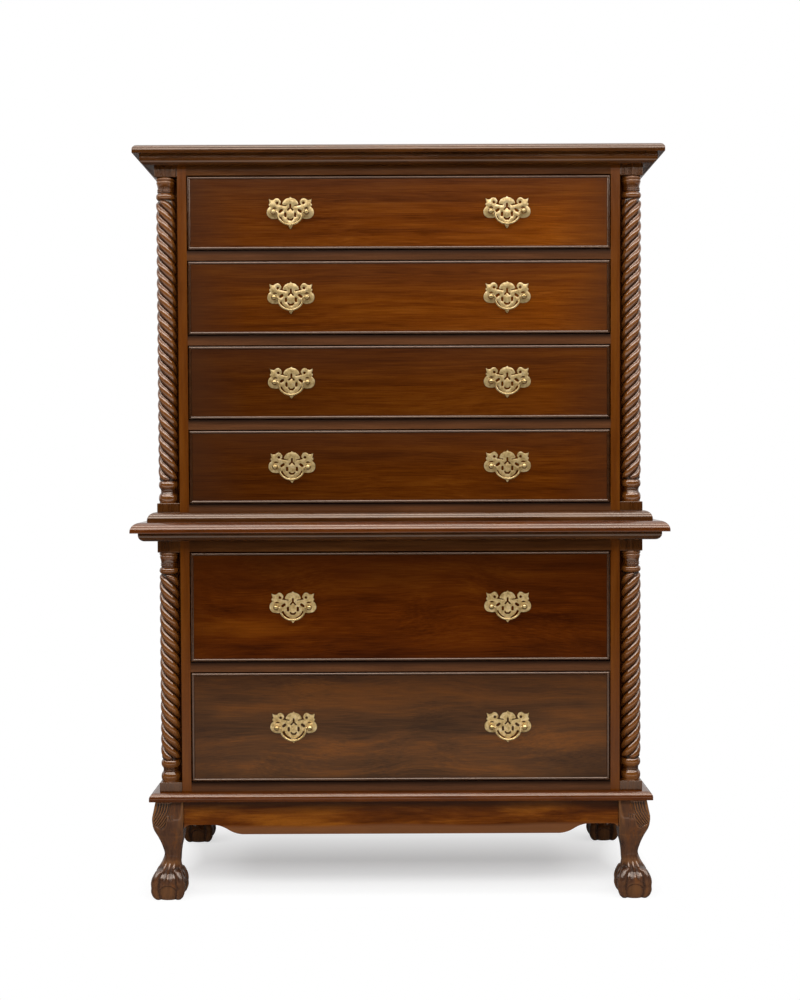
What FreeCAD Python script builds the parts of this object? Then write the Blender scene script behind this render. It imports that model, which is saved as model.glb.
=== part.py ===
import FreeCAD, Part
import math
import os

# Flat-fronted mahogany chest-on-chest: four drawers over two, rope-twist
# columns in the front corners, claw-and-ball feet and pierced brass pulls.
# Millimetres, +Z up, front towards -Y, right towards +X.
# The origin is on the floor, under the middle of the whole chest.

Vector = FreeCAD.Vector

# ---------------------------------------------------------------- sizes
# Cases
case_width = 948.0
case_depth = 432.0
side_thickness = 20.0
back_thickness = 8.0
back_rebate = 10.0
stile_face = 18.0
column_notch = 44.5
post_return = 20.0
rail_height = 19.0
rail_depth = 60.0

# Heights from the floor up
leg_height = 195.5
base_board_thickness = 16.0
lower_bottom_rail = 18.8
lower_top_rail = 38.8
waist_board_thickness = 20.0
upper_base_thickness = 19.0
upper_bottom_rail = 15.0
upper_top_rail = 36.2
top_board_thickness = 16.5

# Moulded edges: how far each stands out from the case, and its rounding
base_reach = 18.3
base_round = 10.0
waist_reach = 45.6
waist_round = 17.0
waist_moulding_reach = 32.0
waist_moulding_height = 16.5
waist_moulding_round = 12.0
upper_base_reach = 17.0
upper_base_round = 15.0
top_reach = 36.0
top_round = 10.0
cornice_reach = 24.0
cornice_height = 19.0
cornice_round = 11.0

# Drawers
upper_drawer_count = 4
lower_drawer_count = 2
upper_drawer_height = 141.2
lower_drawer_height = 213.2
drawer_gap = 2.0
front_thickness = 22.0
bead_width = 5.5
bead_inset = 7.0
bead_proud = 2.2
drawer_side_thickness = 12.0
drawer_back_thickness = 12.0
drawer_bottom_thickness = 6.0
drawer_bottom_height = 12.0
groove_depth = 5.0
drawer_back_gap = 19.0
side_drop = 8.0
back_drop = 16.0
tail_length = 13.0
tail_pitch = 32.0
tail_slope = 1.5
tail_root_share = 0.3
slide_clearance = 0.3
guide_clearance = 0.8

# Runners, guides and stops inside the case
runner_width = 62.0
guide_height = 26.0
kicker_height = 18.0
stop_width = 34.0
stop_depth = 12.0
stop_height = 6.0
stop_place = 260.0

# Rope-twist columns
rope_radius = 19.4
rope_strands = 4
rope_strand_radius = 11.4
rope_lead = 86.4
turning_stand_out = 2.6
collar_length = 43.0
collar_radius = 19.0
neck_radius = 15.2
upper_foot_block = 17.6
upper_head_block = 38.6
lower_foot_block = 18.4
lower_head_block = 39.8

# Cabriole legs with claw-and-ball feet
leg_block = 55.0
leg_proud = 7.7
knee_proud = 15.0
knee_height = 159.5
ankle_radius = 16.8
ankle_height = 82.5
ankle_set_back = 21.8
foot_set_back = 15.9
ball_radius = 31.0
ball_centre_height = 26.0
claw_reach = 34.8
toe_radius = 9.3
claw_count = 4

# Aprons and corner blocks
apron_thickness = 22.0
apron_set_back = 4.0
apron_middle_drop = 67.5
apron_end_drop = 48.6
apron_foot_drop = 57.0
apron_ogee_length = 58.0
apron_bracket_width = 15.0
front_apron_shoulder = 42.7
side_apron_shoulder = 12.0
rear_apron_drop = 55.0
corner_block_height = 30.0
corner_block_size = 60.0

# Brass pulls
pull_place = 210.0
post_spacing = 64.0
plate_thickness = 1.8
ball_head_radius = 5.75
ball_stand_off = 9.5
post_collar_radius = 4.6
post_collar_length = 2.2
post_neck_radius = 3.0
post_stem_radius = 2.3
post_hole_clearance = 0.2
nut_size = 8.0
nut_bore_radius = 2.35
nut_thickness = 3.5
stem_end = 2.5
bail_radius = 2.1
bail_drop = 24.4
bail_half_width = 24.0
bail_side_radius = 19.0
bail_bottom_radius = 26.0
bail_end_angle = 2.0
bail_pin_end = 33.5
bail_hole_clearance = 0.4

# -------------------------------------------------------- worked-out places
half_case = case_width / 2
drawer_length = case_depth - back_thickness - drawer_back_gap
half_opening = half_case - column_notch - stile_face
notch_inner = half_case - column_notch
plate_unit = post_spacing / 64
foot_reach = claw_reach * math.sqrt(0.5) + toe_radius - foot_set_back
front_reach = max(waist_reach, foot_reach)
overall_depth = front_reach + case_depth + foot_reach
face_y = front_reach - overall_depth / 2
back_y = face_y + case_depth
column_y = face_y + column_notch / 2
column_x = half_case - column_notch / 2

base_top = leg_height + base_board_thickness
lower_opening_height = lower_drawer_height + 2 * drawer_gap
lower_pitch = lower_opening_height + rail_height
lower_opening_bottom = base_top + lower_bottom_rail
lower_opening_top = lower_opening_bottom + lower_drawer_count * lower_pitch - rail_height
lower_case_top = lower_opening_top + lower_top_rail
waist_top = lower_case_top + waist_board_thickness
upper_case_bottom = waist_top + upper_base_thickness
upper_opening_height = upper_drawer_height + 2 * drawer_gap
upper_pitch = upper_opening_height + rail_height
upper_opening_bottom = upper_case_bottom + upper_bottom_rail
upper_opening_top = upper_opening_bottom + upper_drawer_count * upper_pitch - rail_height
upper_case_top = upper_opening_top + upper_top_rail
overall_height = upper_case_top + top_board_thickness


# ------------------------------------------------------------ small helpers
def box(x0, x1, y0, y1, z0, z1):
    """A board between two corners."""
    return Part.makeBox(x1 - x0, y1 - y0, z1 - z0, Vector(x0, y0, z0))


def prism(points, direction):
    """A closed polygon carried along a direction."""
    wire = Part.makePolygon(points + [points[0]])
    return Part.Face(wire).extrude(direction)


def mirrored(shape):
    """The same piece on the other side of the middle plane."""
    return shape.mirror(Vector(0, 0, 0), Vector(1, 0, 0))


def joined(shapes):
    """One solid from pieces that grow into each other."""
    result = shapes[0]
    for shape in shapes[1:]:
        result = result.fuse(shape)
    return result.removeSplitter()


def save(name, shapes):
    """Write the solids of one sub-part."""
    solids = []
    for shape in shapes:
        solids.extend(shape.Solids)
    Part.makeCompound(solids).exportStep(os.path.join("parts", name + ".step"))
    print(name, len(solids), "solids")


# ---------------------------------------------------------------- mouldings
def rounded_section(low, high, bottom, top, radius, place):
    """Section of a board with its upper edge rounded at the high end.

    place(u, z) puts a point of the section in space.
    """
    lean = radius * (1 - math.sqrt(0.5))
    edges = [
        Part.makeLine(place(low, bottom), place(high, bottom)),
        Part.makeLine(place(high, bottom), place(high, top - radius)),
        Part.Arc(
            place(high, top - radius),
            place(high - lean, top - lean),
            place(high - radius, top),
        ).toShape(),
        Part.makeLine(place(high - radius, top), place(low, top)),
        Part.makeLine(place(low, top), place(low, bottom)),
    ]
    return Part.Face(Part.Wire(edges))


def moulded_board(reach, bottom, thickness, radius):
    """A board whose front and side edges are rounded above and mitred."""
    top = bottom + thickness
    tip_x = half_case + reach
    tip_y = face_y - reach

    def across_front(u, z):
        return Vector(-tip_x, -u, z)

    def across_side(u, z):
        return Vector(u, tip_y, z)

    front = rounded_section(-back_y, -tip_y, bottom, top, radius, across_front)
    right = rounded_section(0, tip_x, bottom, top, radius, across_side)
    along_front = front.extrude(Vector(2 * tip_x, 0, 0))
    along_right = right.extrude(Vector(0, back_y - tip_y, 0))
    across = along_right.fuse(mirrored(along_right)).removeSplitter()
    return along_front.common(across)


def hung_section(reach, top, height, radius, place):
    """Section of a moulding that hangs under a board, rounded below."""
    lean = radius * (1 - math.sqrt(0.5))
    bottom = top - height
    edges = [
        Part.makeLine(place(0, bottom), place(reach - radius, bottom)),
        Part.Arc(
            place(reach - radius, bottom),
            place(reach - lean, bottom + lean),
            place(reach, bottom + radius),
        ).toShape(),
        Part.makeLine(place(reach, bottom + radius), place(reach, top)),
        Part.makeLine(place(reach, top), place(0, top)),
        Part.makeLine(place(0, top), place(0, bottom)),
    ]
    return Part.Face(Part.Wire(edges))


def mitred_moulding(reach, top, height, radius):
    """Three lengths round the front and sides, mitred at the front corners."""
    tip_x = half_case + reach
    tip_y = face_y - reach
    bottom = top - height
    up = Vector(0, 0, height)

    def before_front(p, z):
        return Vector(-tip_x, face_y - p, z)

    def beside_right(p, z):
        return Vector(half_case + p, tip_y, z)

    front = hung_section(reach, top, height, radius, before_front)
    front = front.extrude(Vector(2 * tip_x, 0, 0))
    front_plan = [
        Vector(-tip_x, tip_y, bottom),
        Vector(tip_x, tip_y, bottom),
        Vector(half_case, face_y, bottom),
        Vector(-half_case, face_y, bottom),
    ]
    right = hung_section(reach, top, height, radius, beside_right)
    right = right.extrude(Vector(0, back_y - tip_y, 0))
    right_plan = [
        Vector(tip_x, tip_y, bottom),
        Vector(tip_x, back_y, bottom),
        Vector(half_case, back_y, bottom),
        Vector(half_case, face_y, bottom),
    ]
    front = front.common(prism(front_plan, up))
    right = right.common(prism(right_plan, up))
    return [front, mirrored(right), right]


# ------------------------------------------------------------------- cases
def corner_post(bottom, top):
    """Right-hand post: the stile beside the drawers and the column's backing."""
    inner_y = face_y + column_notch
    outline = [
        Vector(half_opening, face_y, bottom),
        Vector(notch_inner, face_y, bottom),
        Vector(notch_inner, inner_y, bottom),
        Vector(half_case, inner_y, bottom),
        Vector(half_case, inner_y + post_return, bottom),
        Vector(half_opening, inner_y + post_return, bottom),
    ]
    return prism(outline, Vector(0, 0, top - bottom))


def face_frame(top, bottom, opening_bottom, pitch, count):
    """Two posts and the rails above, between and below the drawers."""
    post = corner_post(bottom, top)
    pieces = [post, mirrored(post)]
    rail_back = face_y + rail_depth
    opening_top = opening_bottom + count * pitch - rail_height
    pieces.append(box(-half_opening, half_opening, face_y, rail_back, bottom, opening_bottom))
    for level in range(1, count):
        rail_top = opening_bottom + level * pitch
        rail = box(-half_opening, half_opening, face_y, rail_back, rail_top - rail_height, rail_top)
        pieces.append(rail)
    pieces.append(box(-half_opening, half_opening, face_y, rail_back, opening_top, top))
    return pieces


def side_board(bottom, top):
    """Right-hand side, rebated for the back panel."""
    inner_x = half_case - side_thickness
    board = box(inner_x, half_case, face_y + column_notch + post_return, back_y, bottom, top)
    rebate = box(inner_x, inner_x + back_rebate, back_y - back_thickness, back_y, bottom, top)
    return board.cut(rebate)


def back_panel(bottom, top):
    """Back panel let into the rebates of the sides."""
    half = half_case - side_thickness + back_rebate
    return box(-half, half, back_y - back_thickness, back_y, bottom, top)


def runners(bottom, opening_bottom, pitch, count):
    """Runners with their guides, and the kickers over the top drawer."""
    outer = half_case - side_thickness
    inner = outer - runner_width
    guide_inner = half_opening - drawer_gap + guide_clearance
    runner_front = face_y + rail_depth
    guide_front = face_y + column_notch + post_return
    end = back_y - back_thickness
    opening_top = opening_bottom + count * pitch - rail_height
    pieces = []
    for level in range(count):
        top = opening_bottom + level * pitch
        under = bottom if level == 0 else top - rail_height
        strip = box(inner, half_opening, runner_front, end, under, top)
        filler = box(half_opening, outer, guide_front, end, under, top)
        guide = box(guide_inner, outer, guide_front, end, top, top + guide_height)
        pieces.append(strip.fuse(filler).removeSplitter())
        pieces.append(guide)
    kicker = box(inner, half_opening, runner_front, end, opening_top, opening_top + kicker_height)
    kicker_filler = box(half_opening, outer, guide_front, end, opening_top, opening_top + kicker_height)
    pieces.append(kicker.fuse(kicker_filler).removeSplitter())
    return pieces + [mirrored(piece) for piece in pieces]


def stops(opening_bottom, pitch, count):
    """Small blocks on the rails that the drawer fronts shut against."""
    front = face_y + front_thickness
    pieces = []
    for level in range(count):
        low = opening_bottom + level * pitch
        right = stop_place + stop_width
        stop = box(stop_place, right, front, front + stop_depth, low, low + stop_height)
        pieces.append(stop)
        pieces.append(mirrored(stop))
    return pieces


# ------------------------------------------------------------ rope columns
def foot_turning():
    """Two round rings with a cove between them, from the block up.

    Each part is two points for a line or three for an arc, as a radius and
    a distance from the block in forty-thirds of the collar's length.
    """
    ring = collar_radius
    cove = neck_radius
    fillet = (ring + cove) / 2
    return [
        ((0, 0), (fillet, 0)),
        ((fillet, 0), (ring, 8), (fillet, 17)),
        ((fillet, 17), (cove, 23), (fillet, 29)),
        ((fillet, 29), (ring, 35.5), (fillet, 42)),
        ((fillet, 42), (cove, 43)),
        ((cove, 43), (0, 43)),
        ((0, 43), (0, 0)),
    ]


def head_turning():
    """A flat ring, a hollow drum and a round ring, from the block down."""
    ring = collar_radius
    cove = neck_radius
    fillet = (ring + cove) / 2
    return [
        ((0, 0), (ring, 0)),
        ((ring, 0), (ring, 3.5)),
        ((ring, 3.5), (fillet, 4.5)),
        ((fillet, 4.5), ((fillet + cove) / 2, 20), (fillet, 27)),
        ((fillet, 27), (cove, 28)),
        ((cove, 28), (cove, 29)),
        ((cove, 29), (fillet, 30)),
        ((fillet, 30), (ring, 36), (fillet, 42)),
        ((fillet, 42), (cove, 43)),
        ((cove, 43), (0, 43)),
        ((0, 43), (0, 0)),
    ]


def turned_collar(start, direction, parts):
    """Turned rings between a square block and the twist, about the Z axis."""
    step = direction * collar_length / 43
    edges = []
    for part in parts:
        points = [Vector(radius, 0, start + distance * step) for radius, distance in part]
        if len(points) == 3:
            edges.append(Part.Arc(*points).toShape())
        else:
            edges.append(Part.makeLine(*points))
    face = Part.Face(Part.Wire(edges))
    return face.revolve(Vector(0, 0, 0), Vector(0, 0, 1), 360)


def rope_section(height):
    """Outline of the twist: one round lobe for each strand."""
    turn = 2 * math.pi / rope_strands
    lobe_centre = rope_radius - rope_strand_radius
    half_turn = turn / 2
    valley = lobe_centre * math.cos(half_turn) + math.sqrt(
        rope_strand_radius ** 2 - (lobe_centre * math.sin(half_turn)) ** 2
    )

    def at(radius, angle):
        return Vector(radius * math.cos(angle), radius * math.sin(angle), height)

    edges = []
    for strand in range(rope_strands):
        middle = strand * turn
        lobe = Part.Arc(
            at(valley, middle - half_turn),
            at(rope_radius, middle),
            at(valley, middle + half_turn),
        )
        edges.append(lobe.toShape())
    return Part.Wire(edges)


def rope_twist(bottom, top):
    """The strands wound round the Z axis, one lead for each whole turn."""
    height = top - bottom
    spine = Part.Wire([Part.makeLine(Vector(0, 0, bottom), Vector(0, 0, top))])
    guide = Part.makeLongHelix(rope_lead, height, rope_radius * 2, 0, False)
    guide.translate(Vector(0, 0, bottom))
    sweep = Part.BRepOffsetAPI.MakePipeShell(spine)
    sweep.setAuxiliarySpine(Part.Wire(guide.Edges), True, 0)
    sweep.add(rope_section(bottom))
    sweep.build()
    sweep.makeSolid()
    return sweep.shape()


def column(bottom, top, foot_block, head_block):
    """Right-hand column: two square blocks, turned collars and the twist.

    The turned parts stand a little towards the outer front corner of the blocks.
    """
    half = column_notch / 2
    foot_top = bottom + foot_block
    head_bottom = top - head_block
    turned = [
        turned_collar(foot_top, 1, foot_turning()),
        rope_twist(foot_top + collar_length, head_bottom - collar_length),
        turned_collar(head_bottom, -1, head_turning()),
    ]
    for piece in turned:
        piece.translate(Vector(turning_stand_out, -turning_stand_out, 0))
    blocks = [
        box(-half, half, -half, half, bottom, foot_top),
        box(-half, half, -half, half, head_bottom, top),
    ]
    whole = joined(turned + blocks)
    whole.translate(Vector(column_x, column_y, 0))
    return whole


# -------------------------------------------------------------------- legs
def rounded_square(centre, half, roundness, height):
    """Closed section of a leg, its centre on the diagonal of the corner.

    roundness is the corner radius as a share of half the section's width.
    """
    low = centre - half
    high = centre + half
    radius = roundness * half
    lean = radius * (1 - math.sqrt(0.5))

    def at(u, v):
        return Vector(u, v, height)

    edges = [
        Part.makeLine(at(low + radius, low), at(high - radius, low)),
        Part.Arc(at(high - radius, low), at(high - lean, low + lean), at(high, low + radius)).toShape(),
        Part.makeLine(at(high, low + radius), at(high, high - radius)),
        Part.Arc(
            at(high, high - radius), at(high - lean, high - lean), at(high - radius, high)
        ).toShape(),
        Part.makeLine(at(high - radius, high), at(low + radius, high)),
        Part.Arc(at(low + radius, high), at(low + lean, high - lean), at(low, high - radius)).toShape(),
        Part.makeLine(at(low, high - radius), at(low, low + radius)),
        Part.Arc(at(low, low + radius), at(low + lean, low + lean), at(low + radius, low)).toShape(),
    ]
    return Part.Wire(edges)


def toe(angle):
    """One claw: from the ankle over the knuckle and down the ball."""
    centre = ball_centre_height
    route = [
        (0.55 * ankle_radius, ankle_height - 0.9 * ankle_radius, 0.65),
        (0.90 * ankle_radius, centre + 1.20 * ball_radius, 0.80),
        (0.64 * claw_reach, centre + 0.88 * ball_radius, 0.92),
        (0.90 * claw_reach, centre + 0.46 * ball_radius, 1.00),
        (1.00 * claw_reach, centre + 0.04 * ball_radius, 0.94),
        (0.98 * claw_reach, centre - 0.34 * ball_radius, 0.98),
        (0.84 * claw_reach, centre - 0.70 * ball_radius, 0.55),
    ]
    wires = []
    for index, (reach, height, share) in enumerate(route):
        before = route[max(index - 1, 0)]
        after = route[min(index + 1, len(route) - 1)]
        along = Vector(after[0] - before[0], 0, after[1] - before[1])
        circle = Part.makeCircle(toe_radius * share, Vector(reach, 0, height), along)
        wires.append(Part.Wire([circle]))
    claw = Part.makeLoft(wires, True, False)
    claw.rotate(Vector(0, 0, 0), Vector(0, 0, 1), angle)
    return claw


def leg():
    """A cabriole leg for the corner where both outward directions are plus.

    It is flat where it meets the floor and where the aprons meet its block.
    """
    block_centre = leg_proud - leg_block / 2
    knee_half = (leg_block + knee_proud - leg_proud) / 2
    knee_centre = knee_proud - knee_half
    ankle_centre = -ankle_set_back
    foot_centre = -foot_set_back
    fall = knee_height - ankle_height

    def above_knee(share, roundness):
        """Section a share of the way from the knee up to the block."""
        centre = knee_centre + (block_centre - knee_centre) * share
        half = knee_half + (leg_block / 2 - knee_half) * share
        return rounded_square(centre, half, roundness, knee_height + (leg_height - knee_height) * share)

    def below_knee(share, shift, narrowing, roundness):
        """Section a share of the way from the knee down to the ankle."""
        centre = knee_centre + (ankle_centre - knee_centre) * shift
        half = knee_half + (ankle_radius - knee_half) * narrowing
        return rounded_square(centre, half, roundness, knee_height - fall * share)

    ball_top = ball_centre_height + ball_radius
    sections = [
        above_knee(1.0, 0.11),
        above_knee(0.5, 0.17),
        above_knee(0.0, 0.29),
        below_knee(0.26, 0.10, 0.14, 0.40),
        below_knee(0.52, 0.70, 0.46, 0.56),
        below_knee(0.76, 0.90, 0.82, 0.74),
        below_knee(1.0, 1.0, 1.0, 0.88),
        rounded_square((ankle_centre + foot_centre) / 2, 1.10 * ankle_radius, 0.88, 1.28 * ball_top),
        rounded_square(foot_centre, 0.72 * ball_radius, 0.90, 0.92 * ball_top),
        rounded_square(foot_centre, 0.88 * ball_radius, 0.96, 0.72 * ball_top),
    ]
    shaft = Part.makeLoft(sections, True, False)
    ball = Part.makeSphere(ball_radius, Vector(0, 0, ball_centre_height))
    pieces = [ball]
    for index in range(claw_count):
        pieces.append(toe(45.0 + index * 360.0 / claw_count))
    foot = joined(pieces)
    foot.translate(Vector(foot_centre, foot_centre, 0))
    whole = joined([shaft, foot])
    reach = 4 * ball_radius
    block_inner = leg_proud - leg_block
    whole = whole.cut(box(-reach, reach, -reach, reach, -reach, 0))
    whole = whole.cut(box(-reach, block_inner, -reach, reach, ankle_height, leg_height))
    return whole.cut(box(-reach, reach, -reach, block_inner, ankle_height, leg_height))


def place_leg(shape, front, right):
    """Set the leg at one corner of the case."""
    placed = shape.copy()
    if front:
        placed = placed.mirror(Vector(0, 0, 0), Vector(0, 1, 0))
    placed.translate(Vector(half_case, face_y if front else back_y, 0))
    return placed if right else mirrored(placed)


# ------------------------------------------------------------------ aprons
def shaped_apron(half_length, shoulder):
    """Flat middle, an ogee up to a level shoulder, and a bracket at the leg."""
    top = leg_height
    middle = top - apron_middle_drop
    end = top - apron_end_drop
    foot = top - apron_foot_drop
    bracket = half_length - apron_bracket_width
    ogee_end = bracket - shoulder
    ogee_start = ogee_end - apron_ogee_length
    wave = apron_ogee_length / 2
    rise = (end - middle) / 2

    def half_outline(side):
        def at(x, z):
            return Vector(side * x, 0, z)

        return [
            Part.makeLine(at(0, top), at(half_length, top)),
            Part.makeLine(at(half_length, top), at(half_length, foot)),
            Part.Arc(
                at(half_length, foot),
                at(bracket + apron_bracket_width * 0.6, end - (end - foot) * 0.25),
                at(bracket, end),
            ).toShape(),
            Part.makeLine(at(bracket, end), at(ogee_end, end)),
            Part.Arc(
                at(ogee_end, end),
                at(ogee_start + 1.5 * wave, end - 0.28 * rise),
                at(ogee_start + wave, middle + rise),
            ).toShape(),
            Part.Arc(
                at(ogee_start + wave, middle + rise),
                at(ogee_start + 0.5 * wave, middle + 0.28 * rise),
                at(ogee_start, middle),
            ).toShape(),
            Part.makeLine(at(ogee_start, middle), at(0, middle)),
            Part.makeLine(at(0, middle), at(0, top)),
        ]

    halves = []
    for side in (1, -1):
        face = Part.Face(Part.Wire(half_outline(side)))
        halves.append(face.extrude(Vector(0, apron_thickness, 0)))
    return joined(halves)


def front_apron():
    """Shaped board between the two front legs."""
    board = shaped_apron(half_case + leg_proud - leg_block, front_apron_shoulder)
    board.translate(Vector(0, face_y - leg_proud + apron_set_back, 0))
    return board


def side_apron():
    """Shaped board between the right-hand legs."""
    board = shaped_apron(case_depth / 2 + leg_proud - leg_block, side_apron_shoulder)
    board.rotate(Vector(0, 0, 0), Vector(0, 0, 1), 90)
    outer = half_case + leg_proud - apron_set_back
    board.translate(Vector(outer, (face_y + back_y) / 2, 0))
    return board


def rear_apron():
    """Plain rail between the two rear legs."""
    half_length = half_case + leg_proud - leg_block
    outer = back_y + leg_proud - apron_set_back
    inner = outer - apron_thickness
    return box(-half_length, half_length, inner, outer, leg_height - rear_apron_drop, leg_height)


def corner_block():
    """Glue block behind the front right leg, fitted round its post."""
    inner_face = apron_thickness + apron_set_back - leg_proud
    post_inner = leg_block - leg_proud
    x_face = half_case - inner_face
    y_face = face_y + inner_face
    x_post = half_case - post_inner
    y_post = face_y + post_inner
    low = leg_height - corner_block_height
    outline = [
        Vector(x_post, y_face, low),
        Vector(x_post, y_post, low),
        Vector(x_face, y_post, low),
        Vector(x_face, y_post + corner_block_size, low),
        Vector(x_post - corner_block_size, y_face, low),
    ]
    return prism(outline, Vector(0, 0, corner_block_height))


def corner_blocks():
    """The glue blocks of all four corners."""
    front_right = corner_block()
    middle = (face_y + back_y) / 2
    back_right = front_right.mirror(Vector(0, middle, 0), Vector(0, 1, 0))
    return [front_right, mirrored(front_right), back_right, mirrored(back_right)]


# ------------------------------------------------------------------- pulls
def plate_outline():
    """Right half of the bat-wing plate: arcs through three points, x and z.

    All of the plate's figures are in sixty-fourths of the post spacing.
    """
    corners = [
        ((0.0, 31.0), (8.6, 28.4), (14.8, 20.0)),
        ((14.8, 20.0), (15.6, 17.0), (13.6, 15.2)),
        ((13.6, 15.2), (11.0, 15.0), (8.9, 14.6)),
        ((8.9, 14.6), (7.9, 13.6), (8.9, 12.6)),
        ((8.9, 12.6), (14.5, 13.5), (20.2, 14.6)),
        ((20.2, 14.6), (21.0, 15.4), (20.6, 16.2)),
        ((20.6, 16.2), (18.6, 20.0), (20.2, 24.2)),
        ((20.2, 24.2), (25.6, 28.0), (31.0, 25.6)),
        ((31.0, 25.6), (35.4, 24.2), (41.4, 26.8)),
        ((41.4, 26.8), (40.7, 22.0), (39.4, 17.6)),
        ((39.4, 17.6), (41.8, 15.4), (39.8, 12.4)),
        ((39.8, 12.4), (40.0, 11.2), (41.0, 10.2)),
        ((41.0, 10.2), (44.6, -4.6), (33.6, -11.4)),
        ((33.6, -11.4), (26.0, -11.2), (20.2, -8.0)),
        ((20.2, -8.0), (18.6, -7.8), (17.6, -9.0)),
        ((17.6, -9.0), (13.6, -15.6), (7.6, -19.8)),
        ((7.6, -19.8), (5.0, -22.8), (3.6, -26.4)),
        ((3.6, -26.4), (2.0, -29.2), (0.0, -31.4)),
    ]
    return corners


def plate_face(side):
    """Half of the plate's face on one side of its middle line."""
    def at(point):
        return Vector(side * point[0] * plate_unit, 0, point[1] * plate_unit)

    edges = []
    for start, through, end in plate_outline():
        edges.append(Part.Arc(at(start), at(through), at(end)).toShape())
    edges.append(Part.makeLine(edges[-1].Vertexes[-1].Point, edges[0].Vertexes[0].Point))
    return Part.Face(Part.Wire(edges))


def slot(x, z, length, width, angle):
    """A round-ended slot cut through the plate."""
    reach = (length - width) / 2 * plate_unit
    run = Vector(reach * math.cos(math.radians(angle)), 0, reach * math.sin(math.radians(angle)))
    rise = Vector(-math.sin(math.radians(angle)), 0, math.cos(math.radians(angle)))
    rise = rise * (width / 2 * plate_unit)
    ahead = run * (length / (length - width))
    centre = Vector(x * plate_unit, -2 * plate_thickness, z * plate_unit)
    edges = [
        Part.makeLine(centre - run + rise, centre + run + rise),
        Part.Arc(centre + run + rise, centre + ahead, centre + run - rise).toShape(),
        Part.makeLine(centre + run - rise, centre - run - rise),
        Part.Arc(centre - run - rise, centre - ahead, centre - run + rise).toShape(),
    ]
    return Part.Face(Part.Wire(edges)).extrude(Vector(0, 3 * plate_thickness, 0))


def round_hole(x, z, radius):
    """A round hole through the plate."""
    start = Vector(x * plate_unit, -2 * plate_thickness, z * plate_unit)
    return Part.makeCylinder(radius * plate_unit, 3 * plate_thickness, start, Vector(0, 1, 0))


def half_moon(x, z, width, height):
    """An opening flat below and arched above."""
    centre = Vector(x * plate_unit, -2 * plate_thickness, z * plate_unit)
    left = centre + Vector(-width / 2 * plate_unit, 0, 0)
    right = centre + Vector(width / 2 * plate_unit, 0, 0)
    top = centre + Vector(0, 0, height * plate_unit)
    edges = [Part.Arc(left, top, right).toShape(), Part.makeLine(right, left)]
    return Part.Face(Part.Wire(edges)).extrude(Vector(0, 3 * plate_thickness, 0))


def pull_plate():
    """Pierced bat-wing plate, its back on the plane Y = 0, posts at Z = 0."""
    stem_hole = (post_stem_radius + post_hole_clearance) / plate_unit
    halves = []
    for side in (1, -1):
        halves.append(plate_face(side).extrude(Vector(0, -plate_thickness, 0)))
    plate = joined(halves)
    cuts = [slot(0, 12.6, 9.6, 3.2, 90), slot(0, -13.6, 8.0, 3.0, 0)]
    for side in (1, -1):
        cuts.append(round_hole(side * 25.4, 18.6, 2.4))
        cuts.append(half_moon(side * 31, 7.6, 9.0, 3.0))
        cuts.append(slot(side * 18.4, 3.4, 9.0, 4.4, side * -38))
        cuts.append(slot(side * 9.6, -4.0, 8.6, 3.8, 90))
        cuts.append(slot(side * 3.4, 6.6, 6.6, 2.6, side * -48))
        cuts.append(slot(side * 4.2, -12.0, 5.0, 2.6, side * 60))
        cuts.append(round_hole(side * 32, 0, stem_hole))
    for cut in cuts:
        plate = plate.cut(cut)
    return plate


def ball_post():
    """Post on the Y axis: ball head, collar, and the stem through the front."""
    head_y = -plate_thickness - ball_stand_off
    collar_y = -plate_thickness
    ball = Part.makeSphere(ball_head_radius, Vector(0, head_y, 0))
    neck = Part.makeCylinder(post_neck_radius, ball_stand_off, Vector(0, head_y, 0), Vector(0, 1, 0))
    collar = Part.makeCone(
        post_neck_radius,
        post_collar_radius,
        post_collar_length,
        Vector(0, collar_y - post_collar_length, 0),
        Vector(0, 1, 0),
    )
    stem_length = plate_thickness + front_thickness + nut_thickness + stem_end
    stem = Part.makeCylinder(post_stem_radius, stem_length, Vector(0, collar_y, 0), Vector(0, 1, 0))
    return joined([ball, neck, collar, stem])


def bail_hole(side):
    """Bore in the inner side of a ball head for the end of the bail."""
    head_y = -plate_thickness - ball_stand_off
    reach = bail_pin_end + bail_hole_clearance - post_spacing / 2
    start = Vector(-side * 2 * ball_head_radius, head_y, 0)
    return Part.makeCylinder(
        bail_radius + bail_hole_clearance,
        2 * ball_head_radius + reach,
        start,
        Vector(side, 0, 0),
    )


def nut():
    """Six-sided nut inside the drawer, on the stem of a post."""
    corner_radius = nut_size / math.sqrt(3)
    corners = []
    for index in range(6):
        angle = math.radians(60 * index)
        x = corner_radius * math.cos(angle)
        z = corner_radius * math.sin(angle)
        corners.append(Vector(x, front_thickness, z))
    block = prism(corners, Vector(0, nut_thickness, 0))
    start = Vector(0, front_thickness - nut_thickness, 0)
    bore = Part.makeCylinder(nut_bore_radius, 3 * nut_thickness, start, Vector(0, 1, 0))
    return block.cut(bore)


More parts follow.
